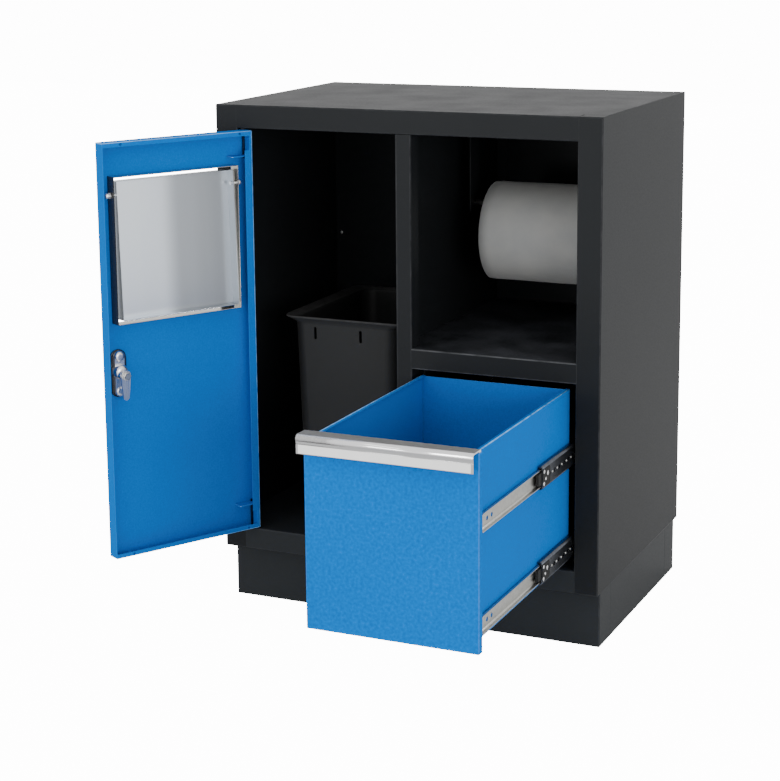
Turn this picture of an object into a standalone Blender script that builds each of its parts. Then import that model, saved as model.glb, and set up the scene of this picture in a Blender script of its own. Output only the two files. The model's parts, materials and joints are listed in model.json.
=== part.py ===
"""Workshop base cabinet: a folded-sheet carcass with a waste door, a drawer and a paper roll.

Metres, +X right, +Y to the back, +Z up. The origin lies on the floor, under the middle of the front
plinth's foot. The door and the drawer stand open, as they do in use.
"""

import math

import bmesh
import bpy
from mathutils import Vector

# Carcass
CABINET_WIDTH = 0.680
CABINET_DEPTH = 0.460
CABINET_HEIGHT = 0.870
SHEET = 0.0015
FIT_GAP = 0.0003
STILE_WIDTH = 0.041
STILE_RETURN = 0.030
REAR_FLANGE = 0.020
TOP_RAIL = 0.039
TOP_RAIL_LIP = 0.022
BOTTOM_RAIL = 0.038
SIDE_FOOT = 0.030
LEFT_OPENING = 0.289
DIVIDER_STILE = 0.027
SHELF_TOP = 0.479
SHELF_LIP = 0.034
SHELF_HEM = 0.012

# Plinth
PLINTH_HEIGHT = 0.097
PLINTH_SETBACK = 0.028
PLINTH_SIDE_INSET = 0.005
PLINTH_REAR_INSET = 0.003
PLINTH_RETURN = 0.057
PLINTH_FOOT = 0.030

# Door
REVEAL = 0.003
DOOR_DEPTH = 0.024
DOOR_SHEET = 0.0012
DOOR_LIP = 0.015
DOOR_END_LIP = 0.008
DOOR_OPEN_DEG = 119.0
HINGE_INSET = 0.0055
HINGE_SETBACK = 0.0045
HINGE_PIN_RADIUS = 0.002
HINGE_PIN_TAIL = 0.004
HINGE_RUNNING_GAP = 0.0003
HINGE_WASHER_RADIUS = 0.0042
PIN_BRACKET_SHEET = 0.0016
PIN_BRACKET_HEIGHT = 0.042
PIN_BRACKET_WIDTH = 0.018
PIN_BRACKET_FOOT = 0.036

# Waste flap
FLAP_FRAME_WIDTH = 0.236
FLAP_FRAME_HEIGHT = 0.242
FLAP_FRAME_DEPTH = 0.021
FLAP_FRAME_HINGE_SIDE = 0.028
FLAP_FRAME_TOP_DROP = 0.056
FLAP_FRAME_SHEET = 0.0012
FLAP_CLEARANCE = 0.006
FLAP_SHEET = 0.0010
FLAP_DEPTH = 0.019
FLAP_PIVOT_DROP = 0.023
FLAP_PIVOT_SETBACK = 0.012
FLAP_REST_DEG = 2.5
FLAP_BOLT_RADIUS = 0.003
FLAP_BOLT_HEAD_RADIUS = 0.0055
FLAP_BOLT_HEAD = 0.005
FLAP_BOLT_TAIL = 0.003

# Lock
LOCK_EDGE_DISTANCE = 0.026
LOCK_BELOW_FRAME = 0.043
LOCK_PLATE_LENGTH = 0.080
LOCK_PLATE_WIDTH = 0.030
LOCK_PLATE_SHEET = 0.003
LOCK_BARREL_RADIUS = 0.009
LOCK_SPINDLE_RADIUS = 0.004
LOCK_ROSETTE_RADIUS = 0.017
LOCK_ROSETTE_DEPTH = 0.003
LOCK_KNOB_RADIUS = 0.013
LOCK_KNOB_DEPTH = 0.015
LOCK_KNOB_DISC = 0.005
LOCK_KNOB_GRIP = 0.007
LOCK_SCREW_RADIUS = 0.0035
LOCK_SCREW_HEAD = 0.002
LOCK_SCREW_INSET = 0.008
LOCK_CAM_DEPTH = 0.0265
LOCK_CAM_SHEET = 0.003
LOCK_CAM_REACH = 0.041
LOCK_CAM_WIDTH = 0.018
LOCK_NUT_RADIUS = 0.0075
LOCK_NUT_DEPTH = 0.005
LOCK_SLOT_CLEARANCE = 0.002

# Drawer
DRAWER_TRAVEL = 0.405
DRAWER_FRONT_DEPTH = 0.012
HANDLE_CAP_DEPTH = 0.006
DRAWER_SHEET = 0.0012
TRAY_LENGTH = 0.4155
TRAY_BOTTOM_RISE = 0.016
TRAY_TOP = 0.434
TRAY_HEM = 0.006
HANDLE_REACH = 0.025
HANDLE_SKIRT = 0.029
HANDLE_WALL = 0.0022
HANDLE_CAP = 0.004
HANDLE_NOSE = 0.011
HANDLE_NOSE_STEPS = 8

# Ball-bearing slides
SLIDE_THICKNESS = 0.0127
SLIDE_SHEET = 0.0012
SLIDE_OUTER_HEIGHT = 0.045
SLIDE_MIDDLE_HEIGHT = 0.037
SLIDE_INNER_HEIGHT = 0.028
SLIDE_OUTER_FLANGE = 0.0095
SLIDE_MIDDLE_FLANGE = 0.0073
SLIDE_INNER_FLANGE = 0.0067
SLIDE_MIDDLE_WEB = 0.0032
SLIDE_OUTER_SETBACK = 0.030
SLIDE_MIDDLE_SETBACK = 0.062
SLIDE_INNER_SETBACK = 0.022
SLIDE_OUTER_LENGTH = 0.400
SLIDE_MIDDLE_LENGTH = 0.360
SLIDE_INNER_LENGTH = 0.395
SLIDE_LOWER_RISE = 0.024
SLIDE_SPACING = 0.153
BALL_CAGE_LENGTH = 0.120
BALL_CAGE_WIDTH = 0.003
RETAINER_LENGTH = 0.022
POST_WIDTH = 0.040
POST_FRONT_SETBACK = 0.075
POST_REAR_INSET = 0.090

# Paper roll
ROLL_RADIUS = 0.085
ROLL_WIDTH = 0.220
ROLL_LEFT = 0.069
ROLL_SETBACK = 0.250
ROLL_CORE_BORE = 0.052
ROLL_CORE_WALL = 0.0025
ROLL_AXLE_RADIUS = 0.005
ROLL_AXLE_HEIGHT = 0.689
ROLL_AXLE_OVERHANG = 0.004
ROLL_BRACKET_SHEET = 0.002
ROLL_BRACKET_WIDTH = 0.040
ROLL_BRACKET_DROP = 0.014
ROLL_BRACKET_FLANGE = 0.025
ROLL_BRACKET_LEFT = 0.029
ROLL_BRACKET_SPAN = 0.280

# Waste bin
BIN_WIDTH = 0.202
BIN_DEPTH = 0.300
BIN_HEIGHT = 0.366
BIN_TAPER = 0.012
BIN_WALL = 0.0025
BIN_RIM = 0.003
BIN_GRIP = 0.016
BIN_GRIP_LIFT = 0.005
BIN_CORNER = 0.022
BIN_CORNER_STEPS = 5
BIN_CENTRE_X = -0.131
BIN_SETBACK = 0.050
BIN_SLOT_WIDTH = 0.005
BIN_SLOT_HEIGHT = 0.022
BIN_SLOT_DROP = 0.012
BIN_SLOT_OFFSETS = (-0.055, 0.030)

ROUND_SIDES = 24
SCREW_SIDES = 18
CUT_MARGIN = 0.004

# Places worked out from the sizes above
FRONT = -(PLINTH_SETBACK + PLINTH_FOOT / 2)
BACK = FRONT + CABINET_DEPTH
SIDE = CABINET_WIDTH / 2
SIDE_INNER = SIDE - SHEET
OPENING_SIDE = SIDE - STILE_WIDTH
FLOOR_TOP = PLINTH_HEIGHT + BOTTOM_RAIL
OPENING_TOP = CABINET_HEIGHT - TOP_RAIL
DIVIDER_LEFT = LEFT_OPENING - OPENING_SIDE
DIVIDER_RIGHT = DIVIDER_LEFT + DIVIDER_STILE
BACK_SHEET_FRONT = BACK - 2 * SHEET - FIT_GAP
PANEL_REAR = BACK_SHEET_FRONT - FIT_GAP
BEHIND_STILE = FRONT + STILE_RETURN + FIT_GAP
DOOR_WIDTH = LEFT_OPENING - 2 * REVEAL
HINGE_PLACE = (REVEAL + HINGE_INSET - OPENING_SIDE, FRONT + HINGE_SETBACK)
DOOR_BOTTOM = FLOOR_TOP + REVEAL
DOOR_TOP = OPENING_TOP - REVEAL
FLAP_FRAME_BOTTOM = DOOR_TOP - FLAP_FRAME_TOP_DROP - FLAP_FRAME_HEIGHT
LOCK_HEIGHT = FLAP_FRAME_BOTTOM - LOCK_BELOW_FRAME - LOCK_PLATE_LENGTH / 2
DRAWER_LEFT = DIVIDER_RIGHT + REVEAL
DRAWER_RIGHT = OPENING_SIDE - REVEAL
DRAWER_BOTTOM = FLOOR_TOP + REVEAL
DRAWER_TOP = SHELF_TOP - SHELF_LIP - REVEAL
TRAY_BOTTOM = FLOOR_TOP + TRAY_BOTTOM_RISE
TRAY_LEFT = DIVIDER_RIGHT + SLIDE_THICKNESS + 2 * FIT_GAP
TRAY_RIGHT = OPENING_SIDE - SLIDE_THICKNESS - 2 * FIT_GAP
TRAY_FRONT = FRONT + DRAWER_SHEET + FIT_GAP
TRAY_REAR = TRAY_FRONT + TRAY_LENGTH
SLIDE_LOWER_Z = TRAY_BOTTOM + SLIDE_LOWER_RISE
SLIDE_LEVELS = {"lower": SLIDE_LOWER_Z, "upper": SLIDE_LOWER_Z + SLIDE_SPACING}
ROLL_Y = FRONT + ROLL_SETBACK
ROLL_Z = ROLL_AXLE_HEIGHT + ROLL_AXLE_RADIUS + FIT_GAP - ROLL_CORE_BORE
LOCK_S = DOOR_WIDTH - LOCK_EDGE_DISTANCE
POST_PLACES = {"front": FRONT + POST_FRONT_SETBACK, "rear": BACK - POST_REAR_INSET}
PLANES = {"X": "YZX", "Y": "XZY", "Z": "XYZ"}


def clear_scene():
    """Remove whatever the scene holds."""
    for old in list(bpy.data.objects):
        bpy.data.objects.remove(old, do_unlink=True)


def finish(name, colour, roughness, metallic=0.0):
    """Make a plain surface finish."""
    material = bpy.data.materials.new(name)
    material.use_nodes = True
    shader = material.node_tree.nodes["Principled BSDF"]
    shader.inputs["Base Color"].default_value = (*colour, 1.0)
    shader.inputs["Roughness"].default_value = roughness
    shader.inputs["Metallic"].default_value = metallic
    return material


class Carrier:
    """What a group of pieces moves with: an empty on the joint's axis, and that axis's place when shut."""

    def __init__(self, name, origin, location=None, rotation=(0.0, 0.0, 0.0), parent=None):
        self.origin = Vector(origin)
        self.empty = bpy.data.objects.new(name, None)
        self.empty.location = self.origin if location is None else location
        self.empty.rotation_euler = rotation
        self.empty.parent = parent
        bpy.context.collection.objects.link(self.empty)


def add_piece(name, bm, material, carrier=None, smooth=False):
    """Turn a closed bmesh, drawn in the shut position, into a named piece on its carrier."""
    bmesh.ops.recalc_face_normals(bm, faces=bm.faces)
    if carrier is not None:
        bmesh.ops.translate(bm, verts=bm.verts, vec=-carrier.origin)
    mesh = bpy.data.meshes.new(name)
    bm.to_mesh(mesh)
    bm.free()
    if material is not None:
        mesh.materials.append(material)
    if smooth:
        mesh.shade_smooth()
        mesh.set_sharp_from_angle(angle=math.radians(35))
    piece = bpy.data.objects.new(name, mesh)
    if carrier is not None:
        piece.parent = carrier.empty
    bpy.context.collection.objects.link(piece)
    return piece


def combine(piece, bm, operation, carrier=None):
    """Cut a helper solid from a piece, or join it to the piece."""
    helper = add_piece(piece.name + "_helper", bm, None, carrier)
    helper.hide_render = True
    helper.display_type = "WIRE"
    modifier = piece.modifiers.new("helper", "BOOLEAN")
    modifier.operation = operation
    modifier.solver = "EXACT"
    modifier.object = helper


def cut(piece, bm, carrier=None):
    """Cut a solid from a piece."""
    combine(piece, bm, "DIFFERENCE", carrier)


def join(piece, bm, carrier=None):
    """Join a solid to a piece as one body."""
    combine(piece, bm, "UNION", carrier)


def prism(outline, axis, start, end, bm=None):
    """Extrude an outline, given in the plane across the axis, from start to end."""
    bm = bm or bmesh.new()
    first, second, along = ("XYZ".index(letter) for letter in PLANES[axis])
    loops = []
    for level in (start, end):
        loop = []
        for a, b in outline:
            point = [0.0, 0.0, 0.0]
            point[first], point[second], point[along] = a, b, level
            loop.append(bm.verts.new(point))
        loops.append(loop)
        bm.faces.new(loop)
    for index in range(len(outline)):
        after = (index + 1) % len(outline)
        bm.faces.new((loops[0][index], loops[0][after], loops[1][after], loops[1][index]))
    return bm


def block(x, y, z, bm=None):
    """A box between the given pairs of limits."""
    return prism([(x[0], y[0]), (x[1], y[0]), (x[1], y[1]), (x[0], y[1])], "Z", z[0], z[1], bm)


def folded(path, sheet):
    """Outline of a sheet folded along a path, with its thickness to the right of the path."""
    points = [Vector(point) for point in path]
    sides = []
    for start, end in zip(points, points[1:]):
        run = (end - start).normalized()
        sides.append(Vector((run.y, -run.x)))
    inner = []
    for index, point in enumerate(points):
        before = sides[max(index - 1, 0)]
        after = sides[min(index, len(sides) - 1)]
        inner.append(point + (before + after) / (1 + before.dot(after)) * sheet)
    return [tuple(point) for point in points + inner[::-1]]


def mirrored(outline):
    """The outline turned over in its first coordinate."""
    return [(-a, b) for a, b in outline]


def circle(centre, radius, sides=ROUND_SIDES):
    """Points of a round outline."""
    turns = [2 * math.pi * index / sides for index in range(sides)]
    return [(centre[0] + radius * math.cos(turn), centre[1] + radius * math.sin(turn)) for turn in turns]


def rounded_bar(centre, low, high, width, sides=ROUND_SIDES):
    """Outline of an upright bar with round ends, from low to high in the second coordinate."""
    half = width / 2
    steps = sides // 2
    points = []
    for end, start_turn in ((high - half, 0.0), (low + half, math.pi)):
        for index in range(steps + 1):
            turn = start_turn + math.pi * index / steps
            points.append((centre + half * math.cos(turn), end + half * math.sin(turn)))
    return points


def tube(piece_name, material, centre, outer, bore, axis, start, end, carrier=None):
    """A round tube along an axis."""
    piece = add_piece(piece_name, prism(circle(centre, outer), axis, start, end), material, carrier, True)
    hole = prism(circle(centre, bore), axis, start - CUT_MARGIN, end + CUT_MARGIN)
    cut(piece, hole, carrier)
    return piece


def panel_outline(narrow, wide, rear):
    """Outline of a level panel: narrow between the stiles and wide behind their returns."""
    return [
        (narrow[0], FRONT),
        (narrow[1], FRONT),
        (narrow[1], BEHIND_STILE),
        (wide[1], BEHIND_STILE),
        (wide[1], rear),
        (wide[0], rear),
        (wide[0], BEHIND_STILE),
        (narrow[0], BEHIND_STILE),
    ]


def front_lip(top, bottom, depth):
    """Section of a panel's down-turned front edge, with its lower return."""
    return folded([(FRONT + depth, bottom), (FRONT, bottom), (FRONT, top)], SHEET)


def side_panels(paint):
    """The two sides, folded into a stile at the front and a flange at the back."""
    path = [
        (SIDE - REAR_FLANGE, BACK),
        (SIDE, BACK),
        (SIDE, FRONT),
        (OPENING_SIDE, FRONT),
        (OPENING_SIDE, FRONT + STILE_RETURN),
    ]
    section = folded(path, SHEET)
    foot = [
        (SIDE - SIDE_FOOT, FRONT + SHEET / 2),
        (SIDE - SHEET / 2, FRONT + SHEET / 2),
        (SIDE - SHEET / 2, BACK - SHEET / 2),
        (SIDE - SIDE_FOOT, BACK - SHEET / 2),
    ]
    stile_cap = [
        (OPENING_SIDE + SHEET / 2, FRONT + SHEET / 2),
        (SIDE - SHEET / 2, FRONT + SHEET / 2),
        (SIDE - SHEET / 2, FRONT + STILE_RETURN),
        (OPENING_SIDE + SHEET / 2, FRONT + STILE_RETURN),
    ]
    for name, place in (("side_panel_right", list), ("side_panel_left", mirrored)):
        piece = add_piece(name, prism(place(section), "Z", PLINTH_HEIGHT, CABINET_HEIGHT), paint)
        join(piece, prism(place(foot), "Z", PLINTH_HEIGHT, PLINTH_HEIGHT + SHEET))
        join(piece, prism(place(stile_cap), "Z", CABINET_HEIGHT - SHEET, CABINET_HEIGHT))


def top_panel(paint):
    """The top sheet with the front rail."""
    narrow = OPENING_SIDE - FIT_GAP
    wide = SIDE_INNER - FIT_GAP
    outline = panel_outline((-narrow, narrow), (-wide, wide), PANEL_REAR)
    piece = add_piece("top_panel", prism(outline, "Z", CABINET_HEIGHT - SHEET, CABINET_HEIGHT), paint)
    rail = front_lip(CABINET_HEIGHT, OPENING_TOP, TOP_RAIL_LIP)
    join(piece, prism(rail, "X", -narrow, narrow))
    cut(piece, hinge_hole(OPENING_TOP, OPENING_TOP + SHEET))


def floor_panel(paint):
    """The floor of the compartments with the bottom rail."""
    narrow = OPENING_SIDE - FIT_GAP
    wide = SIDE_INNER - FIT_GAP
    outline = panel_outline((-narrow, narrow), (-wide, wide), PANEL_REAR)
    piece = add_piece("floor_panel", prism(outline, "Z", FLOOR_TOP - SHEET, FLOOR_TOP), paint)
    rail = front_lip(FLOOR_TOP, PLINTH_HEIGHT, PLINTH_SETBACK + PLINTH_FOOT)
    join(piece, prism(rail, "X", -narrow, narrow))
    rear_bottom = PLINTH_HEIGHT + SHEET + FIT_GAP
    join(piece, block((-wide, wide), (PANEL_REAR - SHEET, PANEL_REAR), (rear_bottom, FLOOR_TOP)))
    cut(piece, hinge_hole(FLOOR_TOP - SHEET, FLOOR_TOP))


def hinge_hole(bottom, top):
    """Cutter for a hinge pin's hole in a carcass panel."""
    radius = HINGE_PIN_RADIUS + HINGE_RUNNING_GAP
    return prism(circle(HINGE_PLACE, radius), "Z", bottom - CUT_MARGIN, top + CUT_MARGIN)


def back_panel(paint):
    """The flat back sheet, inside the side panels' rear flanges."""
    wide = SIDE_INNER - FIT_GAP
    y = (BACK_SHEET_FRONT, BACK_SHEET_FRONT + SHEET)
    z = (PLINTH_HEIGHT + SHEET + FIT_GAP, CABINET_HEIGHT)
    add_piece("back_panel", block((-wide, wide), y, z), paint)


def centre_divider(paint):
    """The upright between the compartments, folded like a letter J at the front."""
    path = [
        (DIVIDER_RIGHT, FRONT + STILE_RETURN),
        (DIVIDER_RIGHT, FRONT),
        (DIVIDER_LEFT, FRONT),
        (DIVIDER_LEFT, PANEL_REAR),
        (DIVIDER_LEFT + REAR_FLANGE, PANEL_REAR),
    ]
    top = CABINET_HEIGHT - SHEET - FIT_GAP
    piece = add_piece("centre_divider", prism(folded(path, SHEET), "Z", FLOOR_TOP + FIT_GAP, top), paint)
    across = (DIVIDER_LEFT - CUT_MARGIN, DIVIDER_RIGHT + CUT_MARGIN)
    rail_room = (FRONT - CUT_MARGIN, FRONT + TOP_RAIL_LIP + FIT_GAP)
    cut(piece, block(across, rail_room, (OPENING_TOP - FIT_GAP, CABINET_HEIGHT)))
    panel = (DIVIDER_LEFT - CUT_MARGIN, DIVIDER_LEFT + SHEET + CUT_MARGIN)
    cam_front = FRONT + LOCK_CAM_DEPTH
    slot_y = (cam_front - LOCK_SLOT_CLEARANCE, cam_front + LOCK_CAM_SHEET + LOCK_SLOT_CLEARANCE)
    half = LOCK_CAM_WIDTH / 2 + LOCK_SLOT_CLEARANCE
    cut(piece, block(panel, slot_y, (LOCK_HEIGHT - half, LOCK_HEIGHT + half)))


def compartment_shelf(paint):
    """The shelf between the divider and the right side, with a deep front lip."""
    narrow = (DIVIDER_RIGHT + FIT_GAP, OPENING_SIDE - FIT_GAP)
    wide = (DIVIDER_LEFT + SHEET + FIT_GAP, SIDE_INNER - FIT_GAP)
    rear = PANEL_REAR - SHEET - FIT_GAP
    outline = panel_outline(narrow, wide, rear)
    piece = add_piece("compartment_shelf", prism(outline, "Z", SHELF_TOP - SHEET, SHELF_TOP), paint)
    join(piece, prism(front_lip(SHELF_TOP, SHELF_TOP - SHELF_LIP, SHELF_HEM), "X", *narrow))
    join(piece, block(wide, (rear - SHEET, rear), (SHELF_TOP - REAR_FLANGE, SHELF_TOP)))


def plinth(paint):
    """Four folded pieces that stand on the floor under the carcass."""
    side = SIDE - PLINTH_SIDE_INSET
    top = PLINTH_HEIGHT - FIT_GAP
    ends = {"plinth_front": (FRONT + PLINTH_SETBACK, 1), "plinth_rear": (BACK - PLINTH_REAR_INSET, -1)}
    for name, (face, inward) in ends.items():
        path = [(side, PLINTH_RETURN), (side, 0.0), (-side, 0.0), (-side, PLINTH_RETURN)]
        walls = [(x, face + inward * y) for x, y in folded(path, SHEET)]
        piece = add_piece(name, prism(walls, "Z", 0.0, top), paint)
        flange_x = (SHEET / 2 - side, side - SHEET / 2)
        flange_y = (face + inward * SHEET / 2, face + inward * PLINTH_FOOT)
        for bottom in (0.0, top - SHEET):
            join(piece, block(flange_x, flange_y, (bottom, bottom + SHEET)))
    section = folded([(side - PLINTH_FOOT, top), (side, top), (side, 0.0), (side - PLINTH_FOOT, 0.0)], SHEET)
    start = FRONT + PLINTH_SETBACK + PLINTH_RETURN + FIT_GAP
    end = BACK - PLINTH_REAR_INSET - PLINTH_RETURN - FIT_GAP
    add_piece("plinth_side_right", prism(section, "Y", start, end), paint)
    add_piece("plinth_side_left", prism(mirrored(section), "Y", start, end), paint)


def hinge_washers(plastic):
    """Rings that the door's hinge pins turn in, in the gaps over and under the door."""
    bore = HINGE_PIN_RADIUS + HINGE_RUNNING_GAP
    gaps = {"hinge_washer_lower": (FLOOR_TOP, DOOR_BOTTOM), "hinge_washer_upper": (DOOR_TOP, OPENING_TOP)}
    for name, (low, high) in gaps.items():
        tube(name, plastic, HINGE_PLACE, HINGE_WASHER_RADIUS, bore, "Z", low + FIT_GAP, high - FIT_GAP)


def door(carrier, paint, zinc):
    """The door: an open-backed pan with a window, its hinge pins and their brackets."""
    outer = block((0.0, DOOR_WIDTH), (0.0, DOOR_DEPTH), (DOOR_BOTTOM, DOOR_TOP))
    piece = add_piece("door_panel", outer, paint, carrier)
    inside_x = (DOOR_SHEET, DOOR_WIDTH - DOOR_SHEET)
    inside_z = (DOOR_BOTTOM + DOOR_SHEET, DOOR_TOP - DOOR_SHEET)
    cut(piece, block(inside_x, (DOOR_SHEET, DOOR_DEPTH - DOOR_SHEET), inside_z), carrier)
    mouth_x = (DOOR_LIP, DOOR_WIDTH - DOOR_SHEET)
    mouth_y = (DOOR_DEPTH / 2, DOOR_DEPTH + CUT_MARGIN)
    mouth_z = (DOOR_BOTTOM + DOOR_END_LIP, DOOR_TOP - DOOR_END_LIP)
    cut(piece, block(mouth_x, mouth_y, mouth_z), carrier)
    window_x, window_z = frame_inside()
    cut(piece, block(window_x, (-CUT_MARGIN, 2 * DOOR_SHEET), window_z), carrier)
    barrel_hole = circle((LOCK_S, LOCK_HEIGHT), LOCK_BARREL_RADIUS + FIT_GAP)
    cut(piece, prism(barrel_hole, "Y", -CUT_MARGIN, 2 * DOOR_SHEET), carrier)
    hole = HINGE_PIN_RADIUS + HINGE_RUNNING_GAP
    pin_place = (HINGE_INSET, HINGE_SETBACK)
    for wall in (DOOR_BOTTOM, DOOR_TOP):
        cut(piece, prism(circle(pin_place, hole), "Z", wall - CUT_MARGIN, wall + CUT_MARGIN), carrier)
    ends = {"upper": (inside_z[1], -1, OPENING_TOP), "lower": (inside_z[0], 1, FLOOR_TOP)}
    for name, (wall, inward, rail) in ends.items():
        near = wall + inward * FIT_GAP
        far = near + inward * PIN_BRACKET_HEIGHT
        left = DOOR_SHEET + FIT_GAP
        path = [(left, near), (left, far), (left + PIN_BRACKET_FOOT, far)]
        strip = folded(path if inward > 0 else path[::-1], PIN_BRACKET_SHEET)
        bracket = add_piece(
            "hinge_pin_bracket_" + name, prism(strip, "Y", left, left + PIN_BRACKET_WIDTH), paint, carrier)
        pin_far = far + inward * HINGE_PIN_TAIL
        pin_near = rail - inward * (SHEET + HINGE_PIN_TAIL)
        limits = sorted((pin_far, pin_near))
        foot_hole = sorted((far - CUT_MARGIN, far + CUT_MARGIN))
        cut(bracket, prism(circle(pin_place, hole), "Z", *foot_hole), carrier)
        pin = prism(circle(pin_place, HINGE_PIN_RADIUS), "Z", *limits)
        add_piece("hinge_pin_" + name, pin, zinc, carrier, True)


def frame_inside():
    """Inner limits of the flap frame, across and up the door."""
    left = FLAP_FRAME_HINGE_SIDE + FLAP_FRAME_SHEET
    right = FLAP_FRAME_HINGE_SIDE + FLAP_FRAME_WIDTH - FLAP_FRAME_SHEET
    low = FLAP_FRAME_BOTTOM + FLAP_FRAME_SHEET
    high = FLAP_FRAME_BOTTOM + FLAP_FRAME_HEIGHT - FLAP_FRAME_SHEET
    return (left, right), (low, high)


def flap_outside():
    """Outer limits of the flap, across and up the door."""
    across, up = frame_inside()
    across = (across[0] + FLAP_CLEARANCE, across[1] - FLAP_CLEARANCE)
    return across, (up[0] + FLAP_CLEARANCE, up[1] - FLAP_CLEARANCE)


def waste_flap(door_carrier, flap_carrier, steel, zinc):
    """The frame round the window, the flap that swings in it, and the bolts it swings on."""
    inside_x, inside_z = frame_inside()
    frame_x = (inside_x[0] - FLAP_FRAME_SHEET, inside_x[1] + FLAP_FRAME_SHEET)
    frame_z = (inside_z[0] - FLAP_FRAME_SHEET, inside_z[1] + FLAP_FRAME_SHEET)
    start = DOOR_SHEET + FIT_GAP
    end = start + FLAP_FRAME_DEPTH
    frame = add_piece("flap_frame", block(frame_x, (start, end), frame_z), steel, door_carrier)
    cut(frame, block(inside_x, (start - CUT_MARGIN, end + CUT_MARGIN), inside_z), door_carrier)

    flap_x, flap_z = flap_outside()
    flap = add_piece("waste_flap", block(flap_x, (0.0, FLAP_DEPTH), flap_z), steel, flap_carrier)
    pocket_x = (flap_x[0] + FLAP_SHEET, flap_x[1] - FLAP_SHEET)
    pocket_z = (flap_z[0] + FLAP_SHEET, flap_z[1] - FLAP_SHEET)
    cut(flap, block(pocket_x, (FLAP_SHEET, FLAP_DEPTH + CUT_MARGIN), pocket_z), flap_carrier)

    pivot = (FLAP_PIVOT_SETBACK, flap_z[1] - FLAP_PIVOT_DROP)
    shank_hole = circle(pivot, FLAP_BOLT_RADIUS + HINGE_RUNNING_GAP)
    bolts = {"left": (frame_x[1], flap_x[1], 1), "right": (frame_x[0], flap_x[0], -1)}
    for name, (wall, flap_wall, outward) in bolts.items():
        frame_hole = sorted((wall - outward * FLAP_CLEARANCE / 2, wall + outward * CUT_MARGIN))
        cut(frame, prism(shank_hole, "X", *frame_hole), door_carrier)
        flap_hole = (flap_wall - CUT_MARGIN, flap_wall + CUT_MARGIN)
        cut(flap, prism(shank_hole, "X", *flap_hole), flap_carrier)
        head = sorted((wall + outward * FIT_GAP, wall + outward * (FIT_GAP + FLAP_BOLT_HEAD)))
        hexagon = circle(pivot, FLAP_BOLT_HEAD_RADIUS, 6)
        bolt = add_piece("flap_pivot_bolt_" + name, prism(hexagon, "X", *head), zinc, door_carrier)
        tip = flap_wall - outward * FLAP_BOLT_TAIL
        shank = sorted((tip, wall + outward * FLAP_BOLT_HEAD / 2))
        join(bolt, prism(circle(pivot, FLAP_BOLT_RADIUS), "X", *shank), door_carrier)


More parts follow.
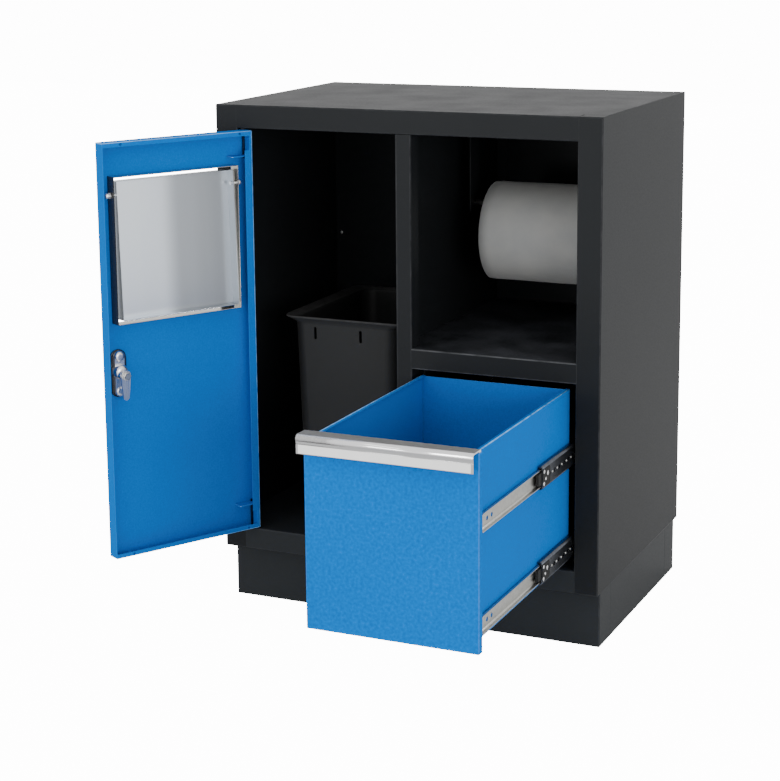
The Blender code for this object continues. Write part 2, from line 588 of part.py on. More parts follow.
def lock(door_carrier, lock_carrier, zinc, chrome, dark):
    """A turn lock: a rosette and barrel through the door, a plate inside, and the cam that it turns."""
    centre = (LOCK_S, LOCK_HEIGHT)
    spindle_hole = circle(centre, LOCK_SPINDLE_RADIUS + FIT_GAP)
    barrel_end = LOCK_CAM_DEPTH - FIT_GAP
    rosette = prism(circle(centre, LOCK_ROSETTE_RADIUS), "Y", -LOCK_ROSETTE_DEPTH, -FIT_GAP)
    escutcheon = add_piece("lock_escutcheon", rosette, chrome, door_carrier, True)
    barrel = prism(circle(centre, LOCK_BARREL_RADIUS), "Y", -LOCK_ROSETTE_DEPTH / 2, barrel_end)
    join(escutcheon, barrel, door_carrier)
    cut(escutcheon, prism(spindle_hole, "Y", -LOCK_KNOB_DEPTH, LOCK_CAM_DEPTH), door_carrier)

    plate_front = DOOR_SHEET + FIT_GAP
    plate_back = plate_front + LOCK_PLATE_SHEET
    half = LOCK_PLATE_LENGTH / 2
    oval = rounded_bar(LOCK_S, LOCK_HEIGHT - half, LOCK_HEIGHT + half, LOCK_PLATE_WIDTH)
    plate = add_piece("lock_backing_plate", prism(oval, "Y", plate_front, plate_back), zinc, door_carrier, True)
    plate_cut = (plate_front - CUT_MARGIN, plate_back + CUT_MARGIN)
    holes = prism(circle(centre, LOCK_BARREL_RADIUS + FIT_GAP), "Y", *plate_cut)
    for name, up in (("upper", 1), ("lower", -1)):
        place = (LOCK_S, LOCK_HEIGHT + up * (half - LOCK_SCREW_INSET))
        shank_radius = LOCK_SCREW_RADIUS / 2
        prism(circle(place, shank_radius + FIT_GAP, SCREW_SIDES), "Y", *plate_cut, holes)
        head_y = (plate_back + FIT_GAP, plate_back + FIT_GAP + LOCK_SCREW_HEAD)
        head = prism(circle(place, LOCK_SCREW_RADIUS, SCREW_SIDES), "Y", *head_y)
        screw = add_piece("lock_screw_" + name, head, zinc, door_carrier, True)
        shank_y = (plate_front + FIT_GAP, plate_back + LOCK_SCREW_HEAD / 2)
        join(screw, prism(circle(place, shank_radius, SCREW_SIDES), "Y", *shank_y), door_carrier)
    cut(plate, holes, door_carrier)

    cam_back = LOCK_CAM_DEPTH + LOCK_CAM_SHEET
    nut_front = cam_back + FIT_GAP
    nut_back = nut_front + LOCK_NUT_DEPTH
    spindle = prism(circle(centre, LOCK_SPINDLE_RADIUS), "Y", -LOCK_ROSETTE_DEPTH, nut_back + FIT_GAP)
    add_piece("lock_spindle", spindle, zinc, lock_carrier, True)
    lever = rounded_bar(LOCK_S, LOCK_HEIGHT - LOCK_CAM_REACH, LOCK_HEIGHT + LOCK_CAM_WIDTH / 2, LOCK_CAM_WIDTH)
    cam = add_piece("lock_cam", prism(lever, "Y", LOCK_CAM_DEPTH, cam_back), zinc, lock_carrier, True)
    through = (LOCK_CAM_DEPTH - CUT_MARGIN, nut_back + CUT_MARGIN)
    cut(cam, prism(spindle_hole, "Y", *through), lock_carrier)
    hexagon = prism(circle(centre, LOCK_NUT_RADIUS, 6), "Y", nut_front, nut_back)
    nut = add_piece("lock_cam_nut", hexagon, zinc, lock_carrier)
    cut(nut, prism(spindle_hole, "Y", *through), lock_carrier)
    knob_back = -LOCK_ROSETTE_DEPTH - FIT_GAP
    disc_front = knob_back - LOCK_KNOB_DISC
    disc = prism(circle(centre, LOCK_KNOB_RADIUS), "Y", disc_front, knob_back)
    knob = add_piece("lock_knob", disc, dark, lock_carrier, True)
    grip = rounded_bar(LOCK_S, LOCK_HEIGHT - LOCK_KNOB_RADIUS, LOCK_HEIGHT + LOCK_KNOB_RADIUS, LOCK_KNOB_GRIP)
    join(knob, prism(grip, "Y", knob_back - LOCK_KNOB_DEPTH, (disc_front + knob_back) / 2), lock_carrier)


def handle_outline():
    """Section of the drawer handle: a cap on the front's edge, a round nose and a hanging skirt."""
    nose = (FRONT - HANDLE_REACH + HANDLE_NOSE, DRAWER_TOP - HANDLE_NOSE)
    turns = [math.pi / 2 * (1 + step / HANDLE_NOSE_STEPS) for step in range(HANDLE_NOSE_STEPS + 1)]
    outer = [(nose[0] + HANDLE_NOSE * math.cos(t), nose[1] + HANDLE_NOSE * math.sin(t)) for t in turns]
    inner_radius = HANDLE_NOSE - HANDLE_WALL
    inner = [(nose[0] + inner_radius * math.cos(t), nose[1] + inner_radius * math.sin(t)) for t in turns]
    skirt_bottom = DRAWER_TOP - HANDLE_SKIRT
    skirt = [(FRONT - HANDLE_REACH, skirt_bottom), (FRONT - HANDLE_REACH + HANDLE_WALL, skirt_bottom)]
    leg_back = FRONT - FIT_GAP
    leg_front = leg_back - HANDLE_WALL
    leg = [
        (leg_front, DRAWER_TOP - HANDLE_WALL),
        (leg_front, skirt_bottom),
        (leg_back, skirt_bottom),
        (leg_back, DRAWER_TOP - HANDLE_CAP),
    ]
    cap_rear = FRONT + HANDLE_CAP_DEPTH
    cap = [(cap_rear, DRAWER_TOP - HANDLE_CAP), (cap_rear, DRAWER_TOP)]
    return outer + skirt + inner[::-1] + leg + cap


def drawer(carrier, paint, aluminium):
    """The drawer: a folded tray with a back, and a front pan with a full-width handle."""
    across = (DRAWER_LEFT, DRAWER_RIGHT)
    front_top = DRAWER_TOP - HANDLE_CAP - FIT_GAP
    front_y = (FRONT, FRONT + DRAWER_FRONT_DEPTH)
    front = add_piece("drawer_front", block(across, front_y, (DRAWER_BOTTOM, front_top)), paint, carrier)
    pocket_x = (across[0] + DRAWER_SHEET, across[1] - DRAWER_SHEET)
    pocket_z = (DRAWER_BOTTOM + DRAWER_SHEET, front_top - DRAWER_SHEET)
    cut(front, block(pocket_x, (FRONT + DRAWER_SHEET, front_y[1] + CUT_MARGIN), pocket_z), carrier)
    add_piece("drawer_handle", prism(handle_outline(), "X", *across), aluminium, carrier, True)

    path = [
        (TRAY_RIGHT - TRAY_HEM, TRAY_TOP),
        (TRAY_RIGHT, TRAY_TOP),
        (TRAY_RIGHT, TRAY_BOTTOM),
        (TRAY_LEFT, TRAY_BOTTOM),
        (TRAY_LEFT, TRAY_TOP),
        (TRAY_LEFT + TRAY_HEM, TRAY_TOP),
    ]
    add_piece("drawer_tray", prism(folded(path, DRAWER_SHEET), "Y", TRAY_FRONT, TRAY_REAR), paint, carrier)
    step = DRAWER_SHEET + FIT_GAP
    back_x = (TRAY_LEFT + step, TRAY_RIGHT - step)
    back_z = (TRAY_BOTTOM + step, TRAY_TOP - step)
    add_piece("drawer_back", block(back_x, (TRAY_REAR - DRAWER_SHEET, TRAY_REAR), back_z), paint, carrier)


def slide_section(height, web, flange, opens=1):
    """Section of one slide member, across its thickness and up its height from its middle."""
    half = height / 2
    tip = web + opens * flange
    path = [(tip, -opens * half), (web, -opens * half), (web, opens * half), (tip, opens * half)]
    return folded(path, SLIDE_SHEET)


def slides(drawer_carrier, middle_carrier, zinc, dark_zinc, plastic):
    """Four ball-bearing slides: an outer, a middle and an inner member each, with a plastic end piece."""
    outer = slide_section(SLIDE_OUTER_HEIGHT, 0.0, SLIDE_OUTER_FLANGE)
    middle = slide_section(SLIDE_MIDDLE_HEIGHT, SLIDE_MIDDLE_WEB, SLIDE_MIDDLE_FLANGE)
    inner = slide_section(SLIDE_INNER_HEIGHT, SLIDE_THICKNESS, SLIDE_INNER_FLANGE, -1)
    outer_reach = SLIDE_OUTER_HEIGHT / 2 - SLIDE_SHEET - FIT_GAP
    middle_half = SLIDE_MIDDLE_HEIGHT / 2
    middle_inside = middle_half - SLIDE_SHEET
    inner_reach = SLIDE_INNER_HEIGHT / 2 + FIT_GAP
    cage_end = SLIDE_MIDDLE_WEB + SLIDE_MIDDLE_FLANGE - SLIDE_SHEET
    cage = (cage_end - BALL_CAGE_WIDTH, cage_end)
    retainer_web = SLIDE_MIDDLE_WEB + SLIDE_SHEET + FIT_GAP
    retainer_lip = SLIDE_THICKNESS - SLIDE_INNER_FLANGE - FIT_GAP
    retainer_half = middle_inside - FIT_GAP
    retainer = [
        (cage_end, retainer_half),
        (retainer_web, retainer_half),
        (retainer_web, -retainer_half),
        (cage_end, -retainer_half),
        (cage_end, -inner_reach),
        (retainer_lip, -inner_reach),
        (retainer_lip, inner_reach),
        (cage_end, inner_reach),
    ]
    outer_y = (FRONT + SLIDE_OUTER_SETBACK, FRONT + SLIDE_OUTER_SETBACK + SLIDE_OUTER_LENGTH)
    middle_y = (FRONT + SLIDE_MIDDLE_SETBACK, FRONT + SLIDE_MIDDLE_SETBACK + SLIDE_MIDDLE_LENGTH)
    inner_y = (FRONT + SLIDE_INNER_SETBACK, FRONT + SLIDE_INNER_SETBACK + SLIDE_INNER_LENGTH)
    cage_front = middle_y[0] + RETAINER_LENGTH + FIT_GAP
    sides = {"left": (DIVIDER_RIGHT + FIT_GAP, 1), "right": (OPENING_SIDE - FIT_GAP, -1)}
    for side, (face, inward) in sides.items():
        for level, height in SLIDE_LEVELS.items():
            tag = side + "_" + level

            def placed(section, face=face, inward=inward, height=height):
                return [(face + inward * a, height + b) for a, b in section]

            add_piece("slide_outer_" + tag, prism(placed(outer), "Y", *outer_y), zinc)
            add_piece("slide_inner_" + tag, prism(placed(inner), "Y", *inner_y), zinc, drawer_carrier)
            bar = add_piece(
                "slide_middle_" + tag, prism(placed(middle), "Y", *middle_y), dark_zinc, middle_carrier)
            x = sorted(face + inward * edge for edge in cage)
            for up in (1, -1):
                rear_z = sorted(height + up * edge for edge in (middle_half - SLIDE_SHEET / 2, outer_reach))
                rear_y = (middle_y[1] - BALL_CAGE_LENGTH, middle_y[1])
                join(bar, block(x, rear_y, rear_z), middle_carrier)
                front_z = sorted(height + up * edge for edge in (inner_reach, middle_inside + SLIDE_SHEET / 2))
                front_y = (cage_front, cage_front + BALL_CAGE_LENGTH)
                join(bar, block(x, front_y, front_z), middle_carrier)
            end_y = (middle_y[0], middle_y[0] + RETAINER_LENGTH)
            add_piece("slide_retainer_" + tag, prism(placed(retainer), "Y", *end_y), plastic, middle_carrier)


def slide_posts(paint):
    """Uprights that hold the slides off the divider and off the right side panel."""
    bottom = FLOOR_TOP + FIT_GAP
    top = SHELF_TOP - SHEET - FIT_GAP
    walls = {
        "left": (DIVIDER_LEFT + SHEET + FIT_GAP, DIVIDER_RIGHT),
        "right": (SIDE_INNER - FIT_GAP, OPENING_SIDE),
    }
    for side, (wall, face) in walls.items():
        inward = 1 if face > wall else -1
        for place, middle in POST_PLACES.items():
            rear = middle + POST_WIDTH / 2
            front = rear - POST_WIDTH
            depth = abs(face - wall)
            section = folded([(0.0, rear), (depth, rear), (depth, front), (0.0, front)], SHEET)
            channel = [(wall + inward * a, b) for a, b in section]
            add_piece("slide_post_" + side + "_" + place, prism(channel, "Z", bottom, top), paint)


def paper_roll(carrier, paint, zinc, paper, card):
    """The paper roll on its core, hung loosely on an axle between two brackets."""
    end = ROLL_LEFT + ROLL_WIDTH
    centre = (ROLL_Y, ROLL_Z)
    core_outer = ROLL_CORE_BORE + ROLL_CORE_WALL
    tube("roll_core", card, centre, core_outer, ROLL_CORE_BORE, "X", ROLL_LEFT, end, carrier)
    tube("paper_roll", paper, centre, ROLL_RADIUS, core_outer + FIT_GAP, "X", ROLL_LEFT, end, carrier)
    axle_place = (ROLL_Y, ROLL_AXLE_HEIGHT)
    face = ROLL_BRACKET_LEFT + ROLL_BRACKET_SPAN
    overhang = ROLL_BRACKET_SHEET + ROLL_AXLE_OVERHANG
    axle = prism(circle(axle_place, ROLL_AXLE_RADIUS), "X", ROLL_BRACKET_LEFT - overhang, face + overhang)
    add_piece("roll_axle", axle, zinc, None, True)
    low = ROLL_AXLE_HEIGHT - ROLL_BRACKET_DROP
    high = CABINET_HEIGHT - SHEET - FIT_GAP
    section = folded([(face, low), (face, high), (face + ROLL_BRACKET_FLANGE, high)], ROLL_BRACKET_SHEET)
    y = (ROLL_Y - ROLL_BRACKET_WIDTH / 2, ROLL_Y + ROLL_BRACKET_WIDTH / 2)
    flipped = [(ROLL_BRACKET_LEFT + face - a, b) for a, b in section]
    brackets = {
        "roll_bracket_right": (section, face),
        "roll_bracket_left": (flipped, ROLL_BRACKET_LEFT),
    }
    hole = circle(axle_place, ROLL_AXLE_RADIUS + FIT_GAP)
    for name, (outline, plate) in brackets.items():
        bracket = add_piece(name, prism(outline, "Y", *y), paint)
        cut(bracket, prism(hole, "X", plate - CUT_MARGIN, plate + CUT_MARGIN))


def bin_ring(bm, half_x, half_y, corner, z):
    """One level ring of the bin, a rectangle with round corners."""
    ring = []
    centre_y = FRONT + BIN_SETBACK + BIN_DEPTH / 2
    for quarter, (side_x, side_y) in enumerate(((1, 1), (-1, 1), (-1, -1), (1, -1))):
        for step in range(BIN_CORNER_STEPS + 1):
            turn = math.pi / 2 * (quarter + step / BIN_CORNER_STEPS)
            x = BIN_CENTRE_X + side_x * (half_x - corner) + corner * math.cos(turn)
            y = centre_y + side_y * (half_y - corner) + corner * math.sin(turn)
            ring.append(bm.verts.new((x, y, z)))
    return ring


def waste_bin(carrier, plastic):
    """The waste bin: a tapered tub with a rim, wider at the sides, and two slots in its front."""
    base = FLOOR_TOP + FIT_GAP
    top = base + BIN_HEIGHT
    half_x, half_y = BIN_WIDTH / 2, BIN_DEPTH / 2
    rim = top + BIN_GRIP_LIFT
    profile = [
        (-BIN_TAPER, -BIN_TAPER, base),
        (-BIN_RIM, -BIN_RIM, top - 2 * BIN_RIM),
        (BIN_GRIP, 0.0, rim - BIN_RIM),
        (BIN_GRIP, 0.0, rim),
        (-BIN_RIM - BIN_WALL, -BIN_RIM - BIN_WALL, top),
        (-BIN_TAPER - BIN_WALL, -BIN_TAPER - BIN_WALL, base + BIN_WALL),
    ]
    bm = bmesh.new()
    rings = [bin_ring(bm, half_x + out_x, half_y + out_y, BIN_CORNER, z) for out_x, out_y, z in profile]
    for lower, upper in zip(rings, rings[1:]):
        for index in range(len(lower)):
            after = (index + 1) % len(lower)
            bm.faces.new((lower[index], lower[after], upper[after], upper[index]))
    bm.faces.new(rings[0])
    bm.faces.new(rings[-1])
    piece = add_piece("waste_bin", bm, plastic, carrier, True)
    wall = FRONT + BIN_SETBACK
    slot_top = top - BIN_SLOT_DROP
    for offset in BIN_SLOT_OFFSETS:
        x = BIN_CENTRE_X + offset
        slot_x = (x - BIN_SLOT_WIDTH / 2, x + BIN_SLOT_WIDTH / 2)
        slot_y = (wall - CUT_MARGIN, wall + BIN_RIM + BIN_WALL + CUT_MARGIN)
        cut(piece, block(slot_x, slot_y, (slot_top - BIN_SLOT_HEIGHT, slot_top)), carrier)


def main():
    """Build the cabinet."""
    clear_scene()
    black = finish("black_powder_coat", (0.022, 0.024, 0.027), 0.45)
    blue = finish("blue_powder_coat", (0.0, 0.185, 0.52), 0.4)
    steel = finish("flap_steel", (0.62, 0.64, 0.67), 0.35, 1.0)
    zinc = finish("zinc_plate", (0.55, 0.55, 0.52), 0.35, 1.0)
    dark_zinc = finish("dark_zinc_plate", (0.16, 0.17, 0.19), 0.4, 1.0)
    chrome = finish("bright_plate", (0.75, 0.75, 0.76), 0.15, 1.0)
    aluminium = finish("handle_aluminium", (0.8, 0.8, 0.78), 0.25, 1.0)
    plastic = finish("black_plastic", (0.03, 0.031, 0.031), 0.55)
    paper = finish("paper", (0.6, 0.6, 0.59), 0.9)
    card = finish("card_core", (0.42, 0.33, 0.22), 0.9)

    side_panels(black)
    top_panel(black)
    floor_panel(black)
    back_panel(black)
    centre_divider(black)
    compartment_shelf(black)
    plinth(black)
    hinge_washers(plastic)
    slide_posts(black)

    door_origin = Vector((HINGE_INSET, HINGE_SETBACK, 0.0))
    opened = (0.0, 0.0, -math.radians(DOOR_OPEN_DEG))
    door_carrier = Carrier("door_hinge_axis", door_origin, (*HINGE_PLACE, 0.0), opened)
    flap_x, flap_z = flap_outside()
    flap_origin = Vector((sum(flap_x) / 2, FLAP_PIVOT_SETBACK, flap_z[1] - FLAP_PIVOT_DROP))
    tilted = (math.radians(FLAP_REST_DEG), 0.0, 0.0)
    flap_carrier = Carrier("flap_axis", flap_origin, flap_origin - door_origin, tilted, door_carrier.empty)
    lock_origin = Vector((LOCK_S, 0.0, LOCK_HEIGHT))
    lock_carrier = Carrier("lock_axis", lock_origin, lock_origin - door_origin, parent=door_carrier.empty)
    door(door_carrier, blue, zinc)
    waste_flap(door_carrier, flap_carrier, steel, zinc)
    lock(door_carrier, lock_carrier, zinc, chrome, plastic)

    drawer_carrier = Carrier("drawer_run", (0.0, 0.0, 0.0), (0.0, -DRAWER_TRAVEL, 0.0))
    middle_carrier = Carrier("middle_run", (0.0, 0.0, 0.0), (0.0, -DRAWER_TRAVEL / 2, 0.0))
    drawer(drawer_carrier, blue, aluminium)
    slides(drawer_carrier, middle_carrier, zinc, dark_zinc, plastic)

    roll_carrier = Carrier("roll_axis", (ROLL_LEFT + ROLL_WIDTH / 2, ROLL_Y, ROLL_Z))
    paper_roll(roll_carrier, black, zinc, paper, card)
    bin_carrier = Carrier("bin_base", (BIN_CENTRE_X, FRONT + BIN_SETBACK + BIN_DEPTH / 2, FLOOR_TOP))
    waste_bin(bin_carrier, plastic)


if __name__ == "__main__":
    main()
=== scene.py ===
"""Looks of the workshop base cabinet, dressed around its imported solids.

Metres, in the solids' own frame: +X right, +Y to the back, +Z up. Sheets are shown as softened copies of
their solids, with round folds and broken edges. What repeats, such as rivets, bearing balls, punched holes
and the paper's turns, is made with Geometry Nodes.
"""

import json
import logging
import math
from collections.abc import Iterable
from dataclasses import dataclass, replace
from enum import Enum
from functools import cache

import bmesh
import bpy
from bmesh.types import BMEdge, BMesh, BMFace, BMVert
from bpy.types import Material, Mesh, MeshPolygon, Node, NodeSocket, NodeTree, Object
from mathutils import Matrix, Vector
from mathutils.bvhtree import BVHTree


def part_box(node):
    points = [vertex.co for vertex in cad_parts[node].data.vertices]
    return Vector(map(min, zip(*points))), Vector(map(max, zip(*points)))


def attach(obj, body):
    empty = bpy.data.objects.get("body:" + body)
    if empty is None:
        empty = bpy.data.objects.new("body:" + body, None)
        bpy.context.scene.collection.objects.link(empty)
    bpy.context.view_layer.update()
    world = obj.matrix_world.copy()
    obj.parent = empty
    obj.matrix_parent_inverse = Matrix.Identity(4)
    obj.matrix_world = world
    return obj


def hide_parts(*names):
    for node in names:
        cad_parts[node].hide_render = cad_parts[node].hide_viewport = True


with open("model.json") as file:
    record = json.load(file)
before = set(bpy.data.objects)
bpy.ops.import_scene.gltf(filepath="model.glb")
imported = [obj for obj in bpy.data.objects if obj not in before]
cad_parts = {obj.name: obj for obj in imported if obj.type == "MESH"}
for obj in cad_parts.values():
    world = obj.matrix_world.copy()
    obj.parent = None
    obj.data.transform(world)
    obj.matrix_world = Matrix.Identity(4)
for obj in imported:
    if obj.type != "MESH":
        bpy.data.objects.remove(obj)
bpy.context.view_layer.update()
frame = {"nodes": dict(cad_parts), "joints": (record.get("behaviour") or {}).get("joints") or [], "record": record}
LOG = logging.getLogger("base_cabinet")

Pair = tuple[float, float]
Triple = tuple[float, float, float]
Outline = list[Pair]
Sweep = tuple[Triple, float, float, float]
Sockets = dict[str, NodeSocket]

UNIT = (0.0, 1.0)
NOISE_SPAN = (0.3, 0.7)
FIBRE_SPAN = (0.35, 0.65)
# Patches of the edge mark, which lays rubbed paint and painted highlight lines along edges.
WEAR_AND_HIGHLIGHT_SPAN, WEAR_AND_HIGHLIGHT_SHARE = (0.32, 0.68), (0.25, 1.0)
# Patches and slope of the pale film on upward faces: settled dust, and painted light on tops.
DUST_AND_LIGHT_SPAN, DUST_AND_LIGHT_SHARE = (0.35, 0.7), (0.1, 1.0)
DUST_AND_LIGHT_SLOPE = (0.7, 1.0)
QUARTER = math.pi / 2


class Slot(Enum):
    """The record's material slots."""

    CARCASS_PAINT = "carcass_paint"
    FRONT_PAINT = "front_paint"
    FLAP_STEEL = "flap_steel"
    ZINC_PLATE = "zinc_plate"
    DARK_ZINC = "dark_zinc"
    BRIGHT_PLATE = "bright_plate"
    HANDLE_ALUMINIUM = "handle_aluminium"
    BLACK_PLASTIC = "black_plastic"
    PAPER = "paper"
    CARD = "card"


class Socket(Enum):
    """Kinds of group sockets."""

    VALUE = "NodeSocketFloat"
    COUNT = "NodeSocketInt"
    VECTOR = "NodeSocketVector"
    RGBA = "NodeSocketColor"
    GEOMETRY = "NodeSocketGeometry"
    OBJECT = "NodeSocketObject"
    MATERIAL = "NodeSocketMaterial"

    @classmethod
    def holding(cls, value: object) -> "Socket":
        """The kind that holds a first value, or the kind itself where there is none."""
        kinds = {float: cls.VALUE, int: cls.COUNT, Socket: value}
        return kinds.get(type(value)) or (cls.VECTOR if len(value) == 3 else cls.RGBA)


class TreeKind(Enum):
    """Kinds of node groups."""

    SHADER = "ShaderNodeTree"
    GEOMETRY = "GeometryNodeTree"


class EdgeKind(Enum):
    """What an edge of a sheet is: a bend, a cut edge, or one that stays sharp."""

    FOLD = "fold"
    CUT = "cut"
    SHARP = "sharp"


def rgba(colour: Triple) -> tuple[float, float, float, float]:
    """Add a full alpha to a colour."""
    return (*colour, 1.0)


class Graph:
    """A node tree under construction, with the sockets that a group is given."""

    def __init__(self, tree: NodeTree, owner: Material | None = None) -> None:
        """Start on a tree, which a material may own."""
        self.tree, self.owner = tree, owner
        self.given: Sockets = {}

    @classmethod
    def group_of(cls, name: str, kind: TreeKind, inputs: dict[str, object]) -> "Graph":
        """Start a node group.

        Args:
            name: The group's name.
            kind: The tree's type.
            inputs: First value of each input by name, or its kind where it has none.

        Returns:
            The group's tree.
        """
        graph = cls(bpy.data.node_groups.new(name, kind.value))
        for label, value in inputs.items():
            socket_type = Socket.holding(value).value
            made = graph.tree.interface.new_socket(label, in_out="INPUT", socket_type=socket_type)
            if not isinstance(value, Socket):
                made.default_value = value
        sockets = graph.add("NodeGroupInput").outputs
        graph.given = {socket.name: socket for socket in sockets if socket.name}
        return graph

    def close(self, outputs: Sockets) -> NodeTree:
        """Give a node group its outputs.

        Args:
            outputs: What they show, by name.

        Returns:
            The group.
        """
        for label, socket in outputs.items():
            self.tree.interface.new_socket(label, in_out="OUTPUT", socket_type=Socket[socket.type].value)
        self.add("NodeGroupOutput", outputs)
        return self.tree

    @classmethod
    def material_of(cls, name: str) -> "Graph":
        """Start a material.

        Args:
            name: The material's name.

        Returns:
            The material's tree.
        """
        material = bpy.data.materials.new(name)
        material.use_nodes = True
        return cls(material.node_tree, material)

    def shade(self, inputs: dict[str, object]) -> Material:
        """Feed the material's shader with sockets or values by name, and hand the material over."""
        self.feed(self.tree.nodes["Principled BSDF"], inputs)
        return self.owner

    def feed(self, node: Node, inputs: dict) -> None:
        """Feed a node.

        Args:
            node: The node.
            inputs: Sockets to link, or values to set, by the input's name or number.
        """
        for key, value in inputs.items():
            if isinstance(value, NodeSocket):
                self.tree.links.new(value, node.inputs[key])
            else:
                node.inputs[key].default_value = value

    def add(self, kind: str, inputs: dict | None = None, **settings: object) -> Node:
        """Add a node.

        Args:
            kind: The node's type.
            inputs: Sockets to link, or values to set, by the input's name or number.
            **settings: The node's own properties.

        Returns:
            The new node.
        """
        node = self.tree.nodes.new(kind)
        for name, value in settings.items():
            setattr(node, name, value)
        self.feed(node, inputs or {})
        return node

    def group(self, tree: NodeTree, inputs: dict[str, object]) -> Sockets:
        """Place a shader group, feed it by name, and give its outputs by name."""
        node = self.add("ShaderNodeGroup", inputs, node_tree=tree)
        return {socket.name: socket for socket in node.outputs}

    def place(self) -> NodeSocket:
        """Coordinates on the piece itself."""
        return self.add("ShaderNodeTexCoord").outputs["Object"]

    def math(self, operation: str, *values: object) -> NodeSocket:
        """Join sockets or numbers with one sum."""
        return self.add("ShaderNodeMath", dict(enumerate(values)), operation=operation).outputs[0]

    def vector(self, operation: str, first: NodeSocket, second: NodeSocket) -> Node:
        """Join two vectors with one sum."""
        return self.add("ShaderNodeVectorMath", {0: first, 1: second}, operation=operation)

    def ranged(self, value: NodeSocket, source: Pair, target: Pair) -> NodeSocket:
        """Map a value from the range that it has to one that it then stays in."""
        numbers = dict(enumerate((*source, *target), 1))
        return self.add("ShaderNodeMapRange", {0: value, **numbers}, clamp=True).outputs[0]

    def around(self, value: NodeSocket, share: float, source: Pair = NOISE_SPAN) -> NodeSocket:
        """Map a value to a factor that strays from 1 by a share."""
        return self.ranged(value, source, (1.0 - share, 1.0 + share))

    def mix(self, share: object, first: object, second: object) -> NodeSocket:
        """Mix two colours, of which the second one has the share."""
        return self.add("ShaderNodeMix", {0: share, 6: first, 7: second}, data_type="RGBA").outputs[2]

    def tinted(self, value: NodeSocket, colour: Triple) -> NodeSocket:
        """A colour with its brightness multiplied by a value."""
        return self.add("ShaderNodeHueSaturation", {"Value": value, "Color": rgba(colour)}).outputs[0]

    def noise(self, place: NodeSocket, scale: object, detail: float) -> NodeSocket:
        """Even noise, about 0.3 to 0.7, with so many waves in a metre and so many finer layers."""
        return self.add("ShaderNodeTexNoise", {"Vector": place, "Scale": scale, "Detail": detail}).outputs[0]

    def cells(self, place: NodeSocket, scale: object, inputs: dict | None = None, **settings: object) -> Node:
        """Voronoi cells, with so many in a metre."""
        return self.add("ShaderNodeTexVoronoi", {"Vector": place, "Scale": scale, **(inputs or {})}, **settings)

    def bump(self, relief: NodeSocket, depth: float) -> NodeSocket:
        """The normal of a relief from 0 to 1, so many metres deep."""
        return self.add("ShaderNodeBump", {"Strength": 1.0, "Distance": depth, "Height": relief}).outputs[0]

    def masked(self, mask: NodeSocket, patches: NodeSocket, over: str) -> NodeTree:
        """End a group that lays the colour of an input over another, where a mask and its patches let it."""
        share = self.math("MULTIPLY", self.math("MULTIPLY", mask, patches), self.given["Amount"])
        return self.close({"Colour": self.mix(share, self.given["Colour"], self.given[over]), "Mask": share})

    def aged(self, tone: NodeSocket, worn_and_highlight: Triple, wear_and_highlight: float, dust_and_light_tint: Triple, dust_and_top_light: float) -> Sockets:
        """Rub a coat's edges, which also paints highlights on them, and let dust settle on it, which also paints
        light on its tops.

        Args:
            tone: The coat's colour.
            worn_and_highlight: Colour of the rubbed edges, also their painted highlight.
            wear_and_highlight: How far they are rubbed and highlighted.
            dust_and_light_tint: The dust's colour, also the tint of the painted light on the tops.
            dust_and_top_light: How thick the dust lies, and how strong the painted light on the tops is.

        Returns:
            The colour, and the mask of the dust and its painted light.
        """
        # Rubbed paint with painted edge highlights, then dust with painted light on the upward faces.
        wear_and_highlight_inputs = {"Colour": tone, "Worn colour": rgba(worn_and_highlight), "Amount": wear_and_highlight}
        rubbed_and_highlighted = self.group(edge_wear(), wear_and_highlight_inputs)["Colour"]
        return self.group(settled_dust(), {"Colour": rubbed_and_highlighted, "Dust colour": rgba(dust_and_light_tint), "Amount": dust_and_top_light})

    def swept(self, sweep: Sweep) -> NodeSocket:
        """A factor that falls softly from 1, by the sweep's axis, start, end and low value."""
        return self.group(tone_sweep(), dict(zip(("Axis", "Start", "End", "Low"), sweep)))["Shade"]


@cache
def coat_texture() -> NodeTree:
    """Relief of a powder coat, its fine light specks, and its slow drift in tone.

    Returns:
        The group.
    """
    inputs = {"Peel scale": 420.0, "Blotch scale": 380.0, "Drift scale": 4.0}
    graph = Graph.group_of("coat_texture", TreeKind.SHADER, inputs)
    place, given = graph.place(), graph.given
    return graph.close({
        "Relief": graph.noise(place, given["Peel scale"], 1.0),
        "Blotch": graph.noise(place, given["Blotch scale"], 3.0),
        "Drift": graph.noise(place, given["Drift scale"], 3.0),
    })


@cache
def edge_wear() -> NodeTree:
    """Rubbed paint and painted highlight lines along folds and cut edges, which the mesh marks with its edge
    attribute.

    Returns:
        The group.
    """
    colours = {"Colour": (0.5, 0.5, 0.5, 1.0), "Worn colour": (0.6, 0.6, 0.6, 1.0)}
    graph = Graph.group_of("edge_wear", TreeKind.SHADER, {**colours, "Amount": 0.5, "Scale": 60.0})
    marked = graph.add("ShaderNodeAttribute", attribute_name="edge").outputs["Fac"]
    patches = graph.ranged(graph.noise(graph.place(), graph.given["Scale"], 4.0), WEAR_AND_HIGHLIGHT_SPAN, WEAR_AND_HIGHLIGHT_SHARE)
    return graph.masked(marked, patches, "Worn colour")


